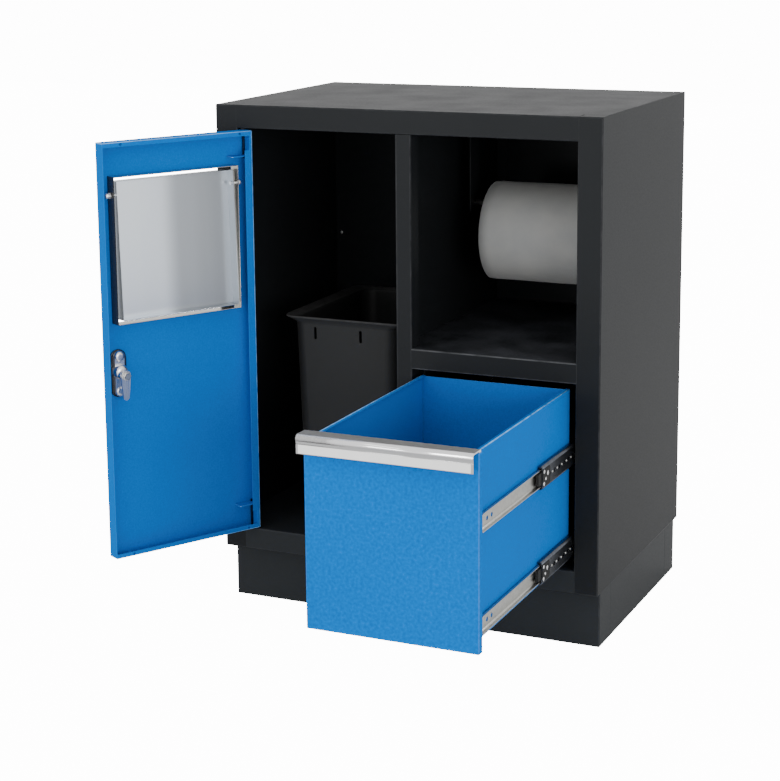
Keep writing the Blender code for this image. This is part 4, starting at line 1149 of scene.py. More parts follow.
def punched(
    mesh: Mesh, slot: Slot, start: Vector, step: Vector, turn: Vector, hole: Pair, count: int = 2
) -> Mesh:
    """Punch a row of round holes through a sheet.

    Args:
        mesh: The sheet.
        slot: Its material slot.
        start: The first hole's middle.
        step: From one hole to the next.
        turn: Turn of the holes from upright.
        hole: Radius of the holes and length of the punch.
        count: How many holes there are.

    Returns:
        The punched sheet.
    """
    places = {"Count": count, "Start": start, "Step": step, "Turn": turn}
    sizes = {"Radius": hole[0], "Length": hole[1], "Finish": finish_of(slot)}
    return modified(mesh, "NODES", {**places, **sizes}, node_group=punch_tree())


@cache
def material_of(finish: Finish) -> Material:
    """The one material of a finish."""
    return finish.material()


def finish_of(slot: Slot) -> Material:
    """The one material of a slot."""
    return material_of(FINISHES[slot])


def put(
    name: str, mesh: Mesh, body: str, slot: Slot, finish: Finish | None = None, nodes: Iterable[str] = ()
) -> None:
    """Make a piece of the cabinet.

    Args:
        name: The piece's name.
        mesh: Its mesh, in the solids' frame.
        body: The body that it moves with.
        slot: Its material slot.
        finish: Its own finish, if it hasn't the slot's.
        nodes: The solids that it stands for.
    """
    mesh.materials.clear()
    mesh.materials.append(material_of(finish or FINISHES[slot]))
    piece = linked(name, mesh)
    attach(piece, body)
    if nodes:
        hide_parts(*nodes)
    LOG.info("%s: %d faces, on %s", name, len(mesh.polygons), body)


def put_node(node: str, mesh: Mesh, finish: Finish | None = None) -> None:
    """Show a mesh in place of one solid, with the solid's own body and slot."""
    put(node + "_look", mesh, NODE_BODIES[node], NODE_SLOTS[node], finish, [node])


def put_softened(nodes: Iterable[str], fold: float, cut: float, finish: Finish | None = None) -> None:
    """Show solids as softened copies, with bends of one radius and edges broken by one width."""
    for node in nodes:
        put_node(node, softened(node_outline(node), fold, cut), finish)


@dataclass
class Carcass:
    """The fixed body of folded black sheet, with the rivets that hold its back."""

    fold: float = 0.0022
    cut: float = 0.0003
    washer: Pair = (0.0004, 0.0003)
    rivet: Pair = (0.0034, 0.0014)
    rivet_x: Pair = (-0.3265, 0.3265)
    rivet_y: float = 0.4119
    rivet_low: float = 0.184
    rivet_pitch: float = 0.200
    rivet_count: int = 4
    lip_ends: Triple = (-0.2987, 0.0173, 0.2987)
    lip_depth: float = 0.014
    lip_near: float = 0.0005
    lip_reach: float = 0.0020
    rightmost: float = 0.1

    def build(self) -> None:
        """Build the sheets, the rivets and the hinge washers."""
        posts = [f"slide_post_{side}_{end}" for side in ("left", "right") for end in ("front", "rear")]
        sheets = ("side_panel_left", "side_panel_right", "back_panel", "centre_divider", *posts)
        put_softened(sheets, self.fold, self.cut)
        plinths = ("plinth_front", "plinth_rear", "plinth_side_left", "plinth_side_right")
        # The plinths, like the floor panel just after them, take the paler coat as painted light from the floor.
        put_softened(plinths, self.fold, self.cut, PLINTH_LIT_COAT)
        # The shelf's coat paints a highlight along its edge and light on its top.
        railed = {"top_panel": None, "floor_panel": PLINTH_LIT_COAT, "compartment_shelf": SHELF_LIT_COAT}
        for node, finish in railed.items():
            put_node(node, softened(self.filled_rail(node), self.fold, self.cut), finish)
        put_softened(("hinge_washer_lower", "hinge_washer_upper"), *self.washer)
        head = dome(*self.rivet, Vector((0.0, -1.0, 0.0)))
        starts = [Vector((x, self.rivet_y, self.rivet_low)) for x in self.rivet_x]
        step = Vector((0.0, 0.0, self.rivet_pitch))
        rows = [row(head, Slot.ZINC_PLATE, start, step, self.rivet_count) for start in starts]
        put("back_rivets", joined(rows), "carcass", Slot.ZINC_PLATE)

    def filled_rail(self, node: str) -> BMesh:
        """Copy a sheet whose front lip meets an upright, and close the groove beside the upright's bend.

        Args:
            node: The sheet's name.

        Returns:
            The sheet with its lip run on, as the weld fills it.
        """
        bm = node_outline(node)
        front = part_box(node)[0].y
        for vert in bm.verts:
            for end in self.lip_ends:
                if vert.co.y < front + self.lip_depth and abs(vert.co.x - end) < self.lip_near:
                    vert.co.x += self.lip_reach if end > self.rightmost else -self.lip_reach
        return bm


@dataclass
class Door:
    """The door pan with its hinge brackets and pins."""

    fold: float = 0.0018
    cut: float = 0.0003
    bracket_fold: float = 0.0020
    pin: Pair = (0.0006, 0.0004)
    depth: float = 0.024
    hole: Pair = (0.0022, 0.006)
    hole_inset: float = 0.0040
    hole_places: Pair = (0.0244, 0.250)
    notch: Pair = (0.0062, 0.0200)
    notch_height: float = 0.024
    notch_inset: float = 0.0085
    notch_depth: float = 0.004
    notch_corner: float = 0.0015
    round_from: float = 0.002

    def build(self) -> None:
        """Build the pan, the holes in its end lips, the notches beside its pins, and its hinges."""
        mesh = softened(node_outline("door_panel"), self.fold, self.cut)
        low, high = (corner.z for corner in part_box("door_panel"))
        place = door_place()
        first, last = self.hole_places
        step = place.to_3x3() @ Vector((last - first, 0.0, 0.0))
        for level in (low + self.hole_inset, high - self.hole_inset):
            start = place @ Vector((first, self.depth, level))
            mesh = punched(mesh, Slot.FRONT_PAINT, start, step, door_turn("X"), self.hole)
        bars, deep = bmesh.new(), self.notch_depth
        near, far = self.notch
        for level in (low + self.notch_inset, high - self.notch_inset - self.notch_height):
            outline = rounded((level, near), (level + self.notch_height, far), self.notch_corner)
            drawn(bars, outline, place @ along_y(self.depth - deep), 2 * deep, self.round_from)
        put_node("door_panel", carved(mesh, bars))
        put_softened(("hinge_pin_bracket_upper", "hinge_pin_bracket_lower"), self.bracket_fold, self.cut)
        # The pins' dark navy is painted shade in the hinge corners.
        put_softened(("hinge_pin_upper", "hinge_pin_lower"), *self.pin, PIN_PAINTED_SHADE)


@dataclass
class WasteFlap:
    """The flap, the frame that it swings in, and its pivot bolts."""

    fold: float = 0.0014
    cut: float = 0.0003
    bolt: Pair = (0.0010, 0.0008)
    hole: Pair = (0.0018, 0.008)
    hole_place: Pair = (0.0286, 0.012)
    hole_heights: Pair = (0.5405, 0.6050)
    head: Pair = (0.0050, 0.0065)
    cap_places: tuple[Pair, Pair] = ((0.0227, -1.0), (0.2693, 1.0))
    cap_centre: Pair = (0.0120, 0.7418)

    def build(self) -> None:
        """Build the frame with its spare holes, the flap and the bolts."""
        mesh = softened(node_outline("flap_frame"), self.fold, self.cut)
        place = door_place()
        low, high = self.hole_heights
        start, step = place @ Vector((*self.hole_place, low)), Vector((0.0, 0.0, high - low))
        mesh = punched(mesh, Slot.FLAP_STEEL, start, step, door_turn("Y"), self.hole)
        # The frame carries painted shade on its free-side wall, and the flap carries painted reflection, darker
        # towards the hinge.
        put_node("flap_frame", mesh, FRAME_SHEET)
        put_softened(("waste_flap",), self.fold, self.cut, FLAP_SHEET)
        put_softened(("flap_pivot_bolt_left", "flap_pivot_bolt_right"), *self.bolt, BOLT_ZINC)
        caps = []
        for along, way in self.cap_places:
            cap = dome(*self.head, place.to_3x3() @ Vector((way, 0.0, 0.0)))
            caps.append(row(cap, Slot.ZINC_PLATE, place @ Vector((along, *self.cap_centre))))
        put("flap_bolt_caps", joined(caps), "door", Slot.ZINC_PLATE, BOLT_ZINC)


@dataclass
class Lock:
    """The turn lock: its plate with a cast housing, the screws, the spindle and the cam."""

    cut: float = 0.0012
    slight: float = 0.0005
    along: float = 0.257
    height: float = 0.447
    plate_top: float = 0.0043
    lobes: tuple[Triple, Triple, Triple] = (
        (0.0290, 0.0092, 0.0085), (0.0040, 0.0128, 0.0150), (-0.0290, 0.0086, 0.0070),
    )
    lobe: tuple[Pair, ...] = (
        (0.0, 0.0), (1.0, 0.0), (0.96, 0.60), (0.84, 0.86), (0.62, 0.98), (0.40, 1.0), (0.0, 1.0),
    )
    web: float = 0.0088
    web_depth: float = 0.0050
    cam_depth: float = 0.0265
    cam_sheet: float = 0.0030
    cam_reach: float = 0.0410
    cam_eye: float = 0.0090
    cam_tip: float = 0.0056
    cam_edge: Pair = (0.0008, 0.0007)
    eye_turns: Pair = (-100.0, 100.0)
    tip_turns: Pair = (82.0, 278.0)
    cam_steps: tuple[int, int] = (20, 16)
    web_steps: int = 12
    round_from: float = 0.004

    def build(self) -> None:
        """Build the lock's pieces."""
        put_softened(("lock_knob", "lock_cam_nut"), self.cut, self.cut)
        others = ("lock_escutcheon", "lock_screw_lower", "lock_screw_upper", "lock_spindle")
        put_softened(others, self.cut, self.slight)
        # The backing plate's dark colour is painted shade beside the housing.
        put_softened(("lock_backing_plate",), self.cut, self.slight, LOCK_PLATE_SHADE)
        put("lock_housing", self.housing(), "door", Slot.ZINC_PLATE, CAST_ZINC)
        foot = self.height - self.cam_reach + self.cam_tip
        outline = arc((self.height, self.along), self.cam_eye, *self.eye_turns, self.cam_steps[0])
        outline += arc((foot, self.along), self.cam_tip, *self.tip_turns, self.cam_steps[1])
        cam = drawn(bmesh.new(), outline, door_place() @ along_y(self.cam_depth), self.cam_sheet, self.round_from)
        put_node("lock_cam", softened(cam, *self.cam_edge), CAST_ZINC)

    def housing(self) -> Mesh:
        """The cast housing on the plate: three round lobes on a web.

        Returns:
            The mesh.
        """
        bm = bmesh.new()
        place, outward = door_place(), Matrix.Rotation(-QUARTER, 4, "X")
        for up, radius, tall in self.lobes:
            stand = Matrix.Translation((self.along, self.plate_top, self.height + up))
            turned(bm, [(radius * a, tall * b) for a, b in self.lobe], place @ stand @ outward, ROUND_STEPS)
        high, low = self.height + self.lobes[0][0], self.height + self.lobes[-1][0]
        outline = arc((high, self.along), self.web, -90.0, 90.0, self.web_steps)
        outline += arc((low, self.along), self.web, 90.0, 270.0, self.web_steps)
        drawn(bm, outline, place @ along_y(self.plate_top), self.web_depth, self.round_from)
        return mesh_of(bm)


@dataclass
class Drawer:
    """The drawer's pan, tray and back, and the bar handle with its blank label strip."""

    fold: float = 0.0018
    cut: float = 0.0003
    nose: float = 0.0066
    reach: float = 0.025
    nose_end: float = 212.0
    inner_start: float = 215.0
    nose_steps: tuple[int, int] = (16, 12)
    skirt_reach: float = 0.0238
    crease: float = 0.0003
    crease_levels: Pair = (0.0002, 0.0012)
    wall: float = 0.0020
    drop: float = 0.029
    foot: Pair = (0.0005, 0.0008)
    cap_depth: float = 0.006
    cap: float = 0.004
    cap_edge: float = 0.0006
    play: float = 0.0003
    round_from: float = 0.0018
    label_margin: float = 0.0035
    label_levels: Pair = (0.0276, 0.0146)
    label_sheet: float = 0.0005
    hem_start: float = -0.4340
    hem: Pair = (0.0026, 0.0060)
    hem_rise: float = 0.0004
    hem_corner: float = 0.0010
    hem_round: float = 0.0011
    hem_highlight: float = 0.0008

    def build(self) -> None:
        """Build the drawer's pieces."""
        put_softened(("drawer_tray", "drawer_back"), self.fold, self.cut)
        put("drawer_hem", self.hems(), "drawer", Slot.FRONT_PAINT)
        put_softened(("drawer_front",), self.fold, self.cut, DRAWER_FACE)
        low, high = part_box("drawer_handle")
        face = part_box("drawer_front")[0].y
        length = high.x - low.x
        handle = drawn(bmesh.new(), self.section(face, high.z), along_x(low.x), length, self.round_from)
        put_node("drawer_handle", mesh_of(handle))
        front = face - self.skirt_reach - self.play
        back = front + self.label_sheet
        bottom, top = (high.z - level for level in self.label_levels)
        outline = [(front, bottom), (back, bottom), (back, top), (front, top)]
        place = along_x(low.x + self.label_margin)
        strip = drawn(bmesh.new(), outline, place, length - 2 * self.label_margin)
        put("label_strip", mesh_of(strip), "drawer", Slot.PAPER, LABEL_STOCK)

    def hems(self) -> Mesh:
        """The folded rims of the tray's sides, with a painted highlight along their tops.

        Returns:
            The mesh.
        """
        low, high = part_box("drawer_tray")
        wide, deep = self.hem
        length = high.y - self.play - self.hem_start
        bm = bmesh.new()
        for x in (low.x - self.play, high.x + self.play - wide):
            outline = rounded((high.z - deep, x), (high.z + self.hem_rise, x + wide), self.hem_corner)
            drawn(bm, outline, along_y(self.hem_start), length, self.hem_round)
        mesh = mesh_of(bm)
        # Painted highlight: the tops of the hems take the coat's pale edge colour.
        mark_edges(mesh, [float(face.center.z > high.z - self.hem_highlight) for face in mesh.polygons])
        return mesh

    def section(self, face: float, top: float) -> Outline:
        """Section of the handle.

        Args:
            face: Y of the drawer front's face.
            top: Height of the handle's top.

        Returns:
            Y and Z of its points, anticlockwise.
        """
        centre = (face - self.reach + self.nose, top - self.nose)
        skirt, foot, under = face - self.skirt_reach, top - self.drop, top - 2 * self.nose
        pinch, below = (under - level for level in self.crease_levels)
        in_foot, up_foot = self.foot
        rear, end, edge = face - self.play, face + self.cap_depth, self.cap_edge
        return [
            (end, top - self.cap), (end, top - edge), (end - edge, top),
            *arc(centre, self.nose, 90.0, self.nose_end, self.nose_steps[0]),
            (skirt + self.crease, pinch), (skirt, below), (skirt, foot + up_foot), (skirt + in_foot, foot),
            (skirt + self.wall, foot), (skirt + self.wall, under),
            *arc(centre, self.nose - self.wall, self.inner_start, 90.0, self.nose_steps[1]),
            (rear, top - self.wall), (rear, top - self.cap),
        ]


@dataclass(frozen=True)
class SlidePlace:
    """Where one slide is: its tag, X of the carcass's face, the way along X to the drawer, and its height."""

    tag: str
    face: float
    inward: int
    level: float

    def out(self, depth: float) -> float:
        """X so far from the carcass's face."""
        return self.face + self.inward * depth


@dataclass
class Slides:
    """The four ball-bearing slides: rolled members, bearing balls in their cages, and plastic end pieces.

    A member has its height, the depth of its web from the carcass, and the reach of its flanges from the web.
    """

    sheet: float = 0.0012
    bend: float = 0.0034
    bend_steps: int = 8
    round_from: float = 0.00115
    outer: Triple = (0.045, 0.0, 0.0095)
    middle: Triple = (0.037, 0.0032, 0.0073)
    inner: Triple = (0.028, 0.0127, -0.0067)
    retainer: Pair = (0.0012, 0.0008)
    inner_hole: Pair = (0.0036, 0.004)
    inner_place: Pair = (0.0305, -0.001)
    inner_pitch: float = 0.0185
    hole: Pair = (0.0034, 0.004)
    hole_pitch: float = 0.022
    hole_start: float = 0.012
    hole_count: int = 7
    boss: Pair = (0.0022, 0.0010)
    cage_length: float = 0.120
    cage_depth: Pair = (0.0063, 0.0093)
    cage_half: float = 0.0004
    end_length: float = 0.0223
    ball_pitch: float = 0.0065
    ball_steps: tuple[int, int] = (12, 8)
    front_balls: Pair = (0.01565, 0.0016)
    rear_balls: Pair = (0.0199, 0.00135)
    stop_height: float = 0.028
    stop_length: float = 0.033
    stop_corner: float = 0.004
    stop_thickness: float = 0.0008
    studs: tuple[Triple, ...] = (
        (0.0060, 0.0098, 0.0034), (0.0052, -0.0095, 0.0036), (0.0130, -0.0030, 0.0028), (0.0225, 0.0040, 0.0040),
    )
    stud_height: float = 0.0010
    block: Triple = (0.014, 0.019, 0.0045)
    block_front: float = 0.004
    block_corner: float = 0.002
    block_gap: float = 0.0002
    block_edge: Pair = (0.0010, 0.0008)
    body: str = "slide_middle_members"

    def build(self) -> None:
        """Build all four slides."""
        for side, inward in (("left", 1), ("right", -1)):
            for tag in (side + "_lower", side + "_upper"):
                low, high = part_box("slide_outer_" + tag)
                face = low.x if inward > 0 else high.x
                self.build_slide(SlidePlace(tag, face, inward, (low.z + high.z) / 2))

    def build_slide(self, at: SlidePlace) -> None:
        """Build one slide.

        Args:
            at: Where it is.
        """
        outer, inner = "slide_outer_" + at.tag, "slide_inner_" + at.tag
        put_node(outer, self.member(outer, self.outer, at))
        begin, up = self.inner_place
        web = at.out(self.inner[1] - self.sheet / 2)
        start = Vector((web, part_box(inner)[0].y + begin, at.level + up))
        mesh = self.member(inner, self.inner, at)
        put_node(inner, self.holed(mesh, Slot.ZINC_PLATE, start, self.inner_pitch, self.inner_hole, 2))
        self.build_middle(at)
        put_softened(("slide_retainer_" + at.tag,), *self.retainer)

    def member(self, node: str, section: Triple, at: SlidePlace) -> Mesh:
        """Roll one member.

        Args:
            node: The solid that it stands for.
            section: Its height, the depth of its web and the reach of its flanges.
            at: Where the slide is.

        Returns:
            The member's mesh.
        """
        height, web, flange = section
        deep, half, steps = self.bend + self.sheet / 2, self.sheet / 2, self.bend_steps
        reach, tip, strip = height / 2 - deep, abs(flange), []
        for radius, way in ((self.bend + half, 1), (self.bend - half, -1)):
            bends = arc((-reach, deep), radius, 180.0, 270.0, steps)
            bends += arc((reach, deep), radius, 270.0, 360.0, steps)
            strip += [(-reach - radius, tip), *bends, (reach + radius, tip)][::way]
        opens = math.copysign(1.0, flange)
        outline = anticlockwise([(at.level + up, at.out(web + opens * depth)) for up, depth in strip])
        low, high = (corner.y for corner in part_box(node))
        return mesh_of(drawn(bmesh.new(), outline, along_y(low), high - low, self.round_from))

    def holed(self, mesh: Mesh, slot: Slot, start: Vector, pitch: float, hole: Pair, count: int) -> Mesh:
        """Punch a row of holes through a member's web, from the first hole's middle to the back."""
        return punched(mesh, slot, start, Vector((0.0, pitch, 0.0)), Vector((0.0, QUARTER, 0.0)), hole, count)

    def build_middle(self, at: SlidePlace) -> None:
        """Build the middle member with its cages, bearing balls and pressed bosses.

        Args:
            at: Where the slide is.
        """
        node = "slide_middle_" + at.tag
        low, high = (corner.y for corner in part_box(node))
        first, pitch = low + self.end_length + self.hole_start, self.hole_pitch
        start = Vector((at.out(self.middle[1] + self.sheet / 2), first, at.level))
        mesh = self.member(node, self.middle, at)
        mesh = self.holed(mesh, Slot.DARK_ZINC, start, pitch, self.hole, self.hole_count)
        near, far = sorted(at.out(depth) for depth in self.cage_depth)
        cage, balls = bmesh.new(), []
        step, count = Vector((0.0, self.ball_pitch, 0.0)), int(self.cage_length / self.ball_pitch)
        ends = ((low + self.end_length, *self.front_balls), (high - self.cage_length, *self.rear_balls))
        for begin, height, radius in ends:
            ball = self.ball(radius)
            for z in (at.level + height, at.level - height):
                bottom, top = z - self.cage_half, z + self.cage_half
                strip = anticlockwise([(bottom, near), (top, near), (top, far), (bottom, far)])
                drawn(cage, strip, along_y(begin), self.cage_length)
                start = Vector(((near + far) / 2, begin + self.ball_pitch / 2, z))
                balls.append(row(ball, Slot.BRIGHT_PLATE, start, step, count))
        put_node(node, joined((mesh, mesh_of(cage))))
        put("slide_balls_" + at.tag, joined(balls), self.body, Slot.BRIGHT_PLATE)
        boss = dome(*self.boss, Vector((-at.inward, 0.0, 0.0)))
        start = Vector((at.out(self.middle[1]), first + pitch / 2, at.level))
        bosses = row(boss, Slot.ZINC_PLATE, start, Vector((0.0, pitch, 0.0)), self.hole_count - 1)
        put("slide_bosses_" + at.tag, bosses, self.body, Slot.ZINC_PLATE)
        self.build_stop(at, low)

    def build_stop(self, at: SlidePlace, front: float) -> None:
        """Build the plastic stop on the front of a middle member, with its pressed studs and the block behind.

        Args:
            at: Where the slide is.
            front: Y of the member's front end.
        """
        web, half = self.middle[1], self.stop_height / 2
        face, back = web - self.stop_thickness, web + self.sheet + self.block_gap
        outline = rounded((0.0, -half), (self.stop_length, half), self.stop_corner)
        place = along_x(min(at.out(web), at.out(face)), front, at.level)
        stop = drawn(bmesh.new(), outline, place, self.stop_thickness, self.stop_corner)
        put("slide_stop_" + at.tag, mesh_of(stop), self.body, Slot.BLACK_PLASTIC)
        deep, tall, wide = self.block
        outline = rounded((-deep, -tall / 2), (self.block_front, tall / 2), self.block_corner)
        place = along_x(min(at.out(back), at.out(back + wide)), front, at.level)
        block = drawn(bmesh.new(), outline, place, wide, 2 * self.block_corner)
        block = softened(block, *self.block_edge)
        put("slide_block_" + at.tag, block, self.body, Slot.BLACK_PLASTIC)
        rows = []
        for y, z, radius in self.studs:
            stud = dome(radius, self.stud_height, Vector((-at.inward, 0.0, 0.0)))
            rows.append(row(stud, Slot.BRIGHT_PLATE, Vector((at.out(face), front + y, at.level + z))))
        put("slide_studs_" + at.tag, joined(rows), self.body, Slot.BRIGHT_PLATE)

    def ball(self, radius: float) -> Mesh:
        """One bearing ball, turned from pole to pole.

        Args:
            radius: Its radius.

        Returns:
            Its mesh.
        """
        between = arc((0.0, 0.0), radius, -90.0, 90.0, self.ball_steps[1])[1:-1]
        profile = [(0.0, -radius), *between, (0.0, radius)]
        return mesh_of(turned(bmesh.new(), profile, Matrix.Identity(4), self.ball_steps[0]))


@dataclass
class PaperRoll:
    """The paper roll with its loose end, its card core, and the axle and brackets that it hangs on."""

    radius: float = 0.085
    core_radius: float = 0.0545
    bore: float = 0.052
    step: float = 0.0007
    sway: Pair = (0.0002, 9.0)
    loose_end: float = 248.0
    around: int = 144
    along: int = 12
    turns: float = 26.0
    turn_thickness: float = 0.0006
    turn_margins: Pair = (0.001, 0.0015)
    axle_radius: float = 0.005
    axle_edge: float = 0.0006
    core_steps: int = 96
    bracket: Pair = (0.0026, 0.0003)

    def build(self) -> None:
        """Build the roll, its turns, the core and the hanger."""
        put_softened(("roll_bracket_left", "roll_bracket_right"), *self.bracket)
        left, right, place = self.axis("roll_axle")
        wide, edge = self.axle_radius, self.axle_edge
        profile = [(0.0, left), (wide - edge, left), (wide, left + edge)]
        profile += [(wide, right - edge), (wide - edge, right), (0.0, right)]
        put_node("roll_axle", mesh_of(turned(bmesh.new(), profile, place, ROUND_STEPS)))
        left, right, place = self.axis("paper_roll")
        core, bore = self.core_radius, self.bore
        profile = [(core, left), (core, right), (bore, right), (bore, left), (core, left)]
        tube = turned(bmesh.new(), profile, place, self.core_steps)
        bmesh.ops.remove_doubles(tube, verts=tube.verts, dist=MERGE_DISTANCE)
        put_node("roll_core", mesh_of(tube))
        put_node("paper_roll", self.paper(place, left, right))
        spirals = [grown(winding_tree(), {
            "Turns": self.turns,
            "Inner radius": self.core_radius + self.turn_margins[0],
            "Outer radius": self.radius - self.turn_margins[1],
            "Thickness": self.turn_thickness,
            "Place": Vector((x, *place.translation.yz)),
            "Turn": Vector((0.0, QUARTER, 0.0)),
            "Finish": finish_of(Slot.PAPER),
        }) for x in (left, right)]
        put("roll_turns", joined(spirals), "roll", Slot.PAPER)

    def axis(self, node: str) -> tuple[float, float, Matrix]:
        """Both ends of a round piece along X, and the frame of its axis."""
        low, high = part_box(node)
        return low.x, high.x, along_x(0.0, (low.y + high.y) / 2, (low.z + high.z) / 2)

    def turn(self, index: int) -> float:
        """Turn of one place round the roll, from the loose end."""
        return math.radians(self.loose_end + 360.0 * index / self.around)

    def paper(self, place: Matrix, left: float, right: float) -> Mesh:
        """Wind the paper: a faint spiral with one step where the sheet ends, mapped as a sheet.

        Args:
            place: The roll's own frame, with its axis along Z.
            left: X of its left end.
            right: X of its right end.

        Returns:
            The paper's mesh.
        """
        bm = bmesh.new()
        bm.loops.layers.uv.new("sheet")
        levels = [left + (right - left) * index / self.along for index in range(self.along + 1)]
        places = range(self.around + 1)
        sheets = []
        for level in levels:
            sway = self.sway[0] * math.sin(self.sway[1] * (level - left) / (right - left))
            sheets.append(([self.radius - sway - self.step * (1.0 - index / self.around) for index in places], level))
        sheets += [([self.core_radius] * len(places), level) for level in (left, right)]
        rings = []
        for radii, level in sheets:
            turns = [(radius, self.turn(index)) for index, radius in enumerate(radii)]
            points = [Vector((radius * math.cos(turn), radius * math.sin(turn), level)) for radius, turn in turns]
            rings.append([bm.verts.new(place @ point) for point in points])
        *outer, inner_left, inner_right = rings
        for lower, upper, heights in zip(outer, outer[1:], zip(levels, levels[1:])):
            self.skin(bm, lower, upper, heights, True)
            bm.faces.new((lower[-1], lower[0], upper[0], upper[-1]))
        self.skin(bm, outer[-1], inner_right, (right, right + self.radius - self.core_radius), False)
        self.skin(bm, inner_right, inner_left, (right, left), True)
        self.skin(bm, inner_left, outer[0], (left + self.core_radius - self.radius, left), False)
        bmesh.ops.remove_doubles(bm, verts=inner_left + inner_right, dist=MERGE_DISTANCE)
        return mesh_of(bm)

    def skin(self, bm: BMesh, lower: list[BMVert], upper: list[BMVert], heights: Pair, smooth: bool) -> None:
        """Lay the sheet between two rings and map it.

        Args:
            bm: Where it goes.
            lower: The first ring.
            upper: The second ring.
            heights: Both rings' heights on the map.
            smooth: Whether the sheet is round here.
        """
        sheet = bm.loops.layers.uv["sheet"]
        low, high = heights
        for index, corners in enumerate(zip(lower, lower[1:], upper[1:], upper)):
            face = bm.faces.new(corners)
            face.smooth = smooth
            near, far = self.turn(index) * self.radius, self.turn(index + 1) * self.radius
            for loop, spot in zip(face.loops, ((near, low), (far, low), (far, high), (near, high))):
                loop[sheet].uv = spot


@dataclass
class WasteBin:
    """The waste bin: a moulded tub with a rolled rim, wide at the sides, and two slots in its front.

    Points of its section say how far they stand out along X and Y, and above the base, the top or the rim.
    """

    centre: Pair = (-0.131, 0.157)
    half: Pair = (0.101, 0.150)
    base: float = 0.1353
    top: float = 0.5013
    rim: float = 0.005
    outer_foot: tuple[Triple, ...] = (
        (-0.0160, -0.0160, 0.0), (-0.0132, -0.0132, 0.0009), (-0.0120, -0.0120, 0.0040),
    )
    outer_neck: tuple[Triple, ...] = ((-0.0032, -0.0032, -0.0080), (-0.0030, -0.0030, -0.0062))
    roll: tuple[Triple, ...] = (
        (0.0140, -0.0006, -0.0036), (0.0158, -0.0001, -0.0028), (0.0160, 0.0, -0.0012),
        (0.0154, -0.0004, -0.0002), (0.0142, -0.0012, 0.0),
    )
    inner_neck: tuple[Triple, ...] = (
        (-0.0040, -0.0044, 0.0004), (-0.0054, -0.0054, -0.0008), (-0.0060, -0.0060, -0.0040),
    )
    inner_foot: tuple[Triple, ...] = ((-0.0145, -0.0145, 0.0045), (-0.0170, -0.0170, 0.0025))
    rubbed_and_highlighted: float = 0.0005
    corner: float = 0.022
    corner_steps: int = 12
    slots: Pair = (-0.055, 0.030)
    slot_width: float = 0.005
    slot_height: float = 0.022
    slot_drop: float = 0.012
    slot_lead: float = 0.004
    slot_length: float = 0.020
    slot_steps: int = 10

    def build(self) -> None:
        """Build the tub and cut its slots."""
        base, top = self.base, self.top
        courses = (
            (base, self.outer_foot), (top, self.outer_neck), (top + self.rim, self.roll),
            (top, self.inner_neck), (base, self.inner_foot),
        )
        bm, rings = bmesh.new(), []
        (x, y), (wide, deep) = self.centre, self.half
        for out_x, out_y, level in [(*out, foot + up) for foot, course in courses for *out, up in course]:
            low, high = (x - wide - out_x, y - deep - out_y), (x + wide + out_x, y + deep + out_y)
            outline = rounded(low, high, self.corner, self.corner_steps)
            rings.append([bm.verts.new((*point, level)) for point in outline])
        for lower, upper in zip(rings, rings[1:]):
            tall = abs(upper[0].co.z - lower[0].co.z) > self.corner
            for index, face in enumerate(banded(bm, lower, upper), 1):
                face.smooth = not tall or index % (self.corner_steps + 1) > 0
        bm.faces.new(rings[0][::-1])
        bm.faces.new(rings[-1])
        mesh = carved(mesh_of(bm), self.slot_cutter())
        lows = [min(mesh.vertices[index].co.z for index in face.vertices) for face in mesh.polygons]
        mark_edges(mesh, [float(low > top - self.rubbed_and_highlighted) for low in lows])
        put_node("waste_bin", mesh)

    def slot_cutter(self) -> BMesh:
        """The bars that cut the slots through the front wall.

        Returns:
            The bars.
        """
        bm, half = bmesh.new(), self.slot_width / 2
        high = self.top - self.slot_drop
        place = along_y(self.centre[1] - self.half[1] - self.slot_lead)
        for offset in self.slots:
            x = self.centre[0] + offset
            outline = arc((high - half, x), half, -90.0, 90.0, self.slot_steps)
            outline += arc((high - self.slot_height + half, x), half, 90.0, 270.0, self.slot_steps)
            drawn(bm, anticlockwise(outline), place, self.slot_length, 2 * self.slot_width)
        return bm


@dataclass(frozen=True)
class Lamp:
    """A soft lamp with its place, what it points at, its width and height, and its power in watts."""

    name: str
    place: Triple
    target: Triple
    size: Pair
    power: float

    def hang(self) -> None:
        """Hang the lamp."""
        data = bpy.data.lights.new(self.name, "AREA")
        data.shape = "RECTANGLE"
        data.size, data.size_y = self.size
        data.energy = self.power
        lamp = linked(self.name, data)
        turn = (Vector(self.target) - Vector(self.place)).to_track_quat("-Z", "Y")
        lamp.matrix_world = Matrix.Translation(self.place) @ turn.to_matrix().to_4x4()


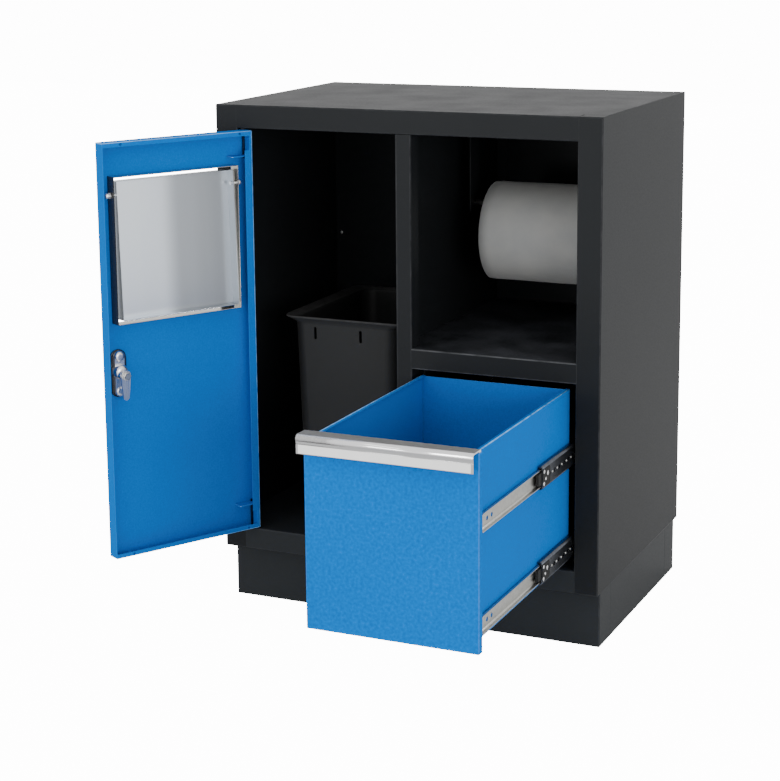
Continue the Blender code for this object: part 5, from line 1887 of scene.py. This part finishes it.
@dataclass
class Studio:
    """A pale floor, soft light from all round, and the camera."""

    floor_half: float = 9.0
    floor_tone: Pair = (0.84, 0.86)
    floor_scale: float = 3.0
    floor_roughness: float = 0.9
    floor_shine: float = 0.1
    backdrop: float = 14.0
    floor_glow: float = 18.5
    glow_share: float = 0.76
    room_light: float = 1.15
    white: Triple = (1.0, 1.0, 1.0)
    lamps: tuple[Lamp, ...] = (
        Lamp("key", (4.2, -3.8, 1.1), (0.0, 0.0, 0.45), (3.0, 1.8), 124.0),
        Lamp("fill", (-1.3, -4.2, 0.62), (0.0, 0.0, 0.45), (3.4, 0.7), 42.0),
        Lamp("top", (-1.15, -2.42, 2.6), (0.16, -0.47, 0.44), (2.8, 0.4), 8.0),
    )
    focal_px: float = 1941.9
    sensor: float = 36.0
    picture: Pair = (780.0, 781.0)
    centre: Pair = (365.0, 290.0)
    yaw: float = 0.43629
    pitch: float = -0.19110
    roll: float = -0.01141
    place: Triple = (1.26207, -2.89243, 1.17975)

    def build(self) -> None:
        """Build the floor, the lights and the camera."""
        self.add_floor()
        self.add_room()
        for lamp in self.lamps:
            lamp.hang()
        self.add_camera()

    def add_floor(self) -> None:
        """Lay the floor, paler to the camera than to the pieces that mirror it."""
        bm = bmesh.new()
        bmesh.ops.create_grid(bm, x_segments=1, y_segments=1, size=self.floor_half)
        floor = linked("studio_floor", mesh_of(bm))
        graph = Graph.material_of("studio_floor")
        tone = graph.ranged(graph.noise(graph.place(), self.floor_scale, 4.0), NOISE_SPAN, self.floor_tone)
        colour = graph.add("ShaderNodeCombineColor", {0: tone, 1: tone, 2: tone}).outputs[0]
        matt = {"Roughness": self.floor_roughness, "Specular IOR Level": self.floor_shine}
        floor.data.materials.append(graph.shade({"Base Color": colour, **matt}))
        shaded = graph.tree.nodes["Principled BSDF"].outputs[0]
        light = {"Color": rgba(self.white), "Strength": self.floor_glow}
        glow = graph.add("ShaderNodeEmission", light).outputs[0]
        seen = graph.add("ShaderNodeLightPath").outputs["Is Camera Ray"]
        share = graph.math("MULTIPLY", seen, self.glow_share)
        mixed = graph.add("ShaderNodeMixShader", {0: share, 1: shaded, 2: glow}).outputs[0]
        graph.feed(graph.tree.nodes["Material Output"], {"Surface": mixed})

    def add_room(self) -> None:
        """Light the room evenly, in front of a white backdrop."""
        world = bpy.data.worlds.new("studio")
        world.use_nodes = True
        graph = Graph(world.node_tree)
        seen = graph.add("ShaderNodeLightPath").outputs["Is Camera Ray"]
        strength = graph.math("MULTIPLY_ADD", seen, self.backdrop - self.room_light, self.room_light)
        graph.feed(world.node_tree.nodes["Background"], {"Color": rgba(self.white), "Strength": strength})
        bpy.context.scene.world = world

    def add_camera(self) -> None:
        """Set the camera at the picture's place."""
        data = bpy.data.cameras.new("camera")
        longest = max(self.picture)
        data.sensor_width = self.sensor
        data.lens = self.focal_px * self.sensor / longest
        data.shift_x = (self.picture[0] / 2 - self.centre[0]) / longest
        data.shift_y = (self.centre[1] - self.picture[1] / 2) / longest
        data.dof.use_dof = False
        level = math.cos(self.pitch)
        ahead = Vector((-math.sin(self.yaw) * level, math.cos(self.yaw) * level, math.sin(self.pitch)))
        right = Vector((math.cos(self.yaw), math.sin(self.yaw), 0.0))
        up = right.cross(ahead)
        c, s = math.cos(self.roll), math.sin(self.roll)
        matrix = Matrix((c * right + s * up, c * up - s * right, -ahead)).transposed().to_4x4()
        matrix.translation = Vector(self.place)
        camera = linked("camera", data)
        camera.matrix_world = matrix
        bpy.context.scene.camera = camera


def main() -> None:
    """Build the cabinet's pieces, then the studio."""
    logging.basicConfig(level=logging.INFO, format="%(name)s: %(message)s")
    for assembly in (Carcass(), Door(), WasteFlap(), Lock(), Drawer(), Slides(), PaperRoll(), WasteBin()):
        LOG.info("building %s", type(assembly).__name__)
        assembly.build()
    Studio().build()


if __name__ == "__main__":
    main()
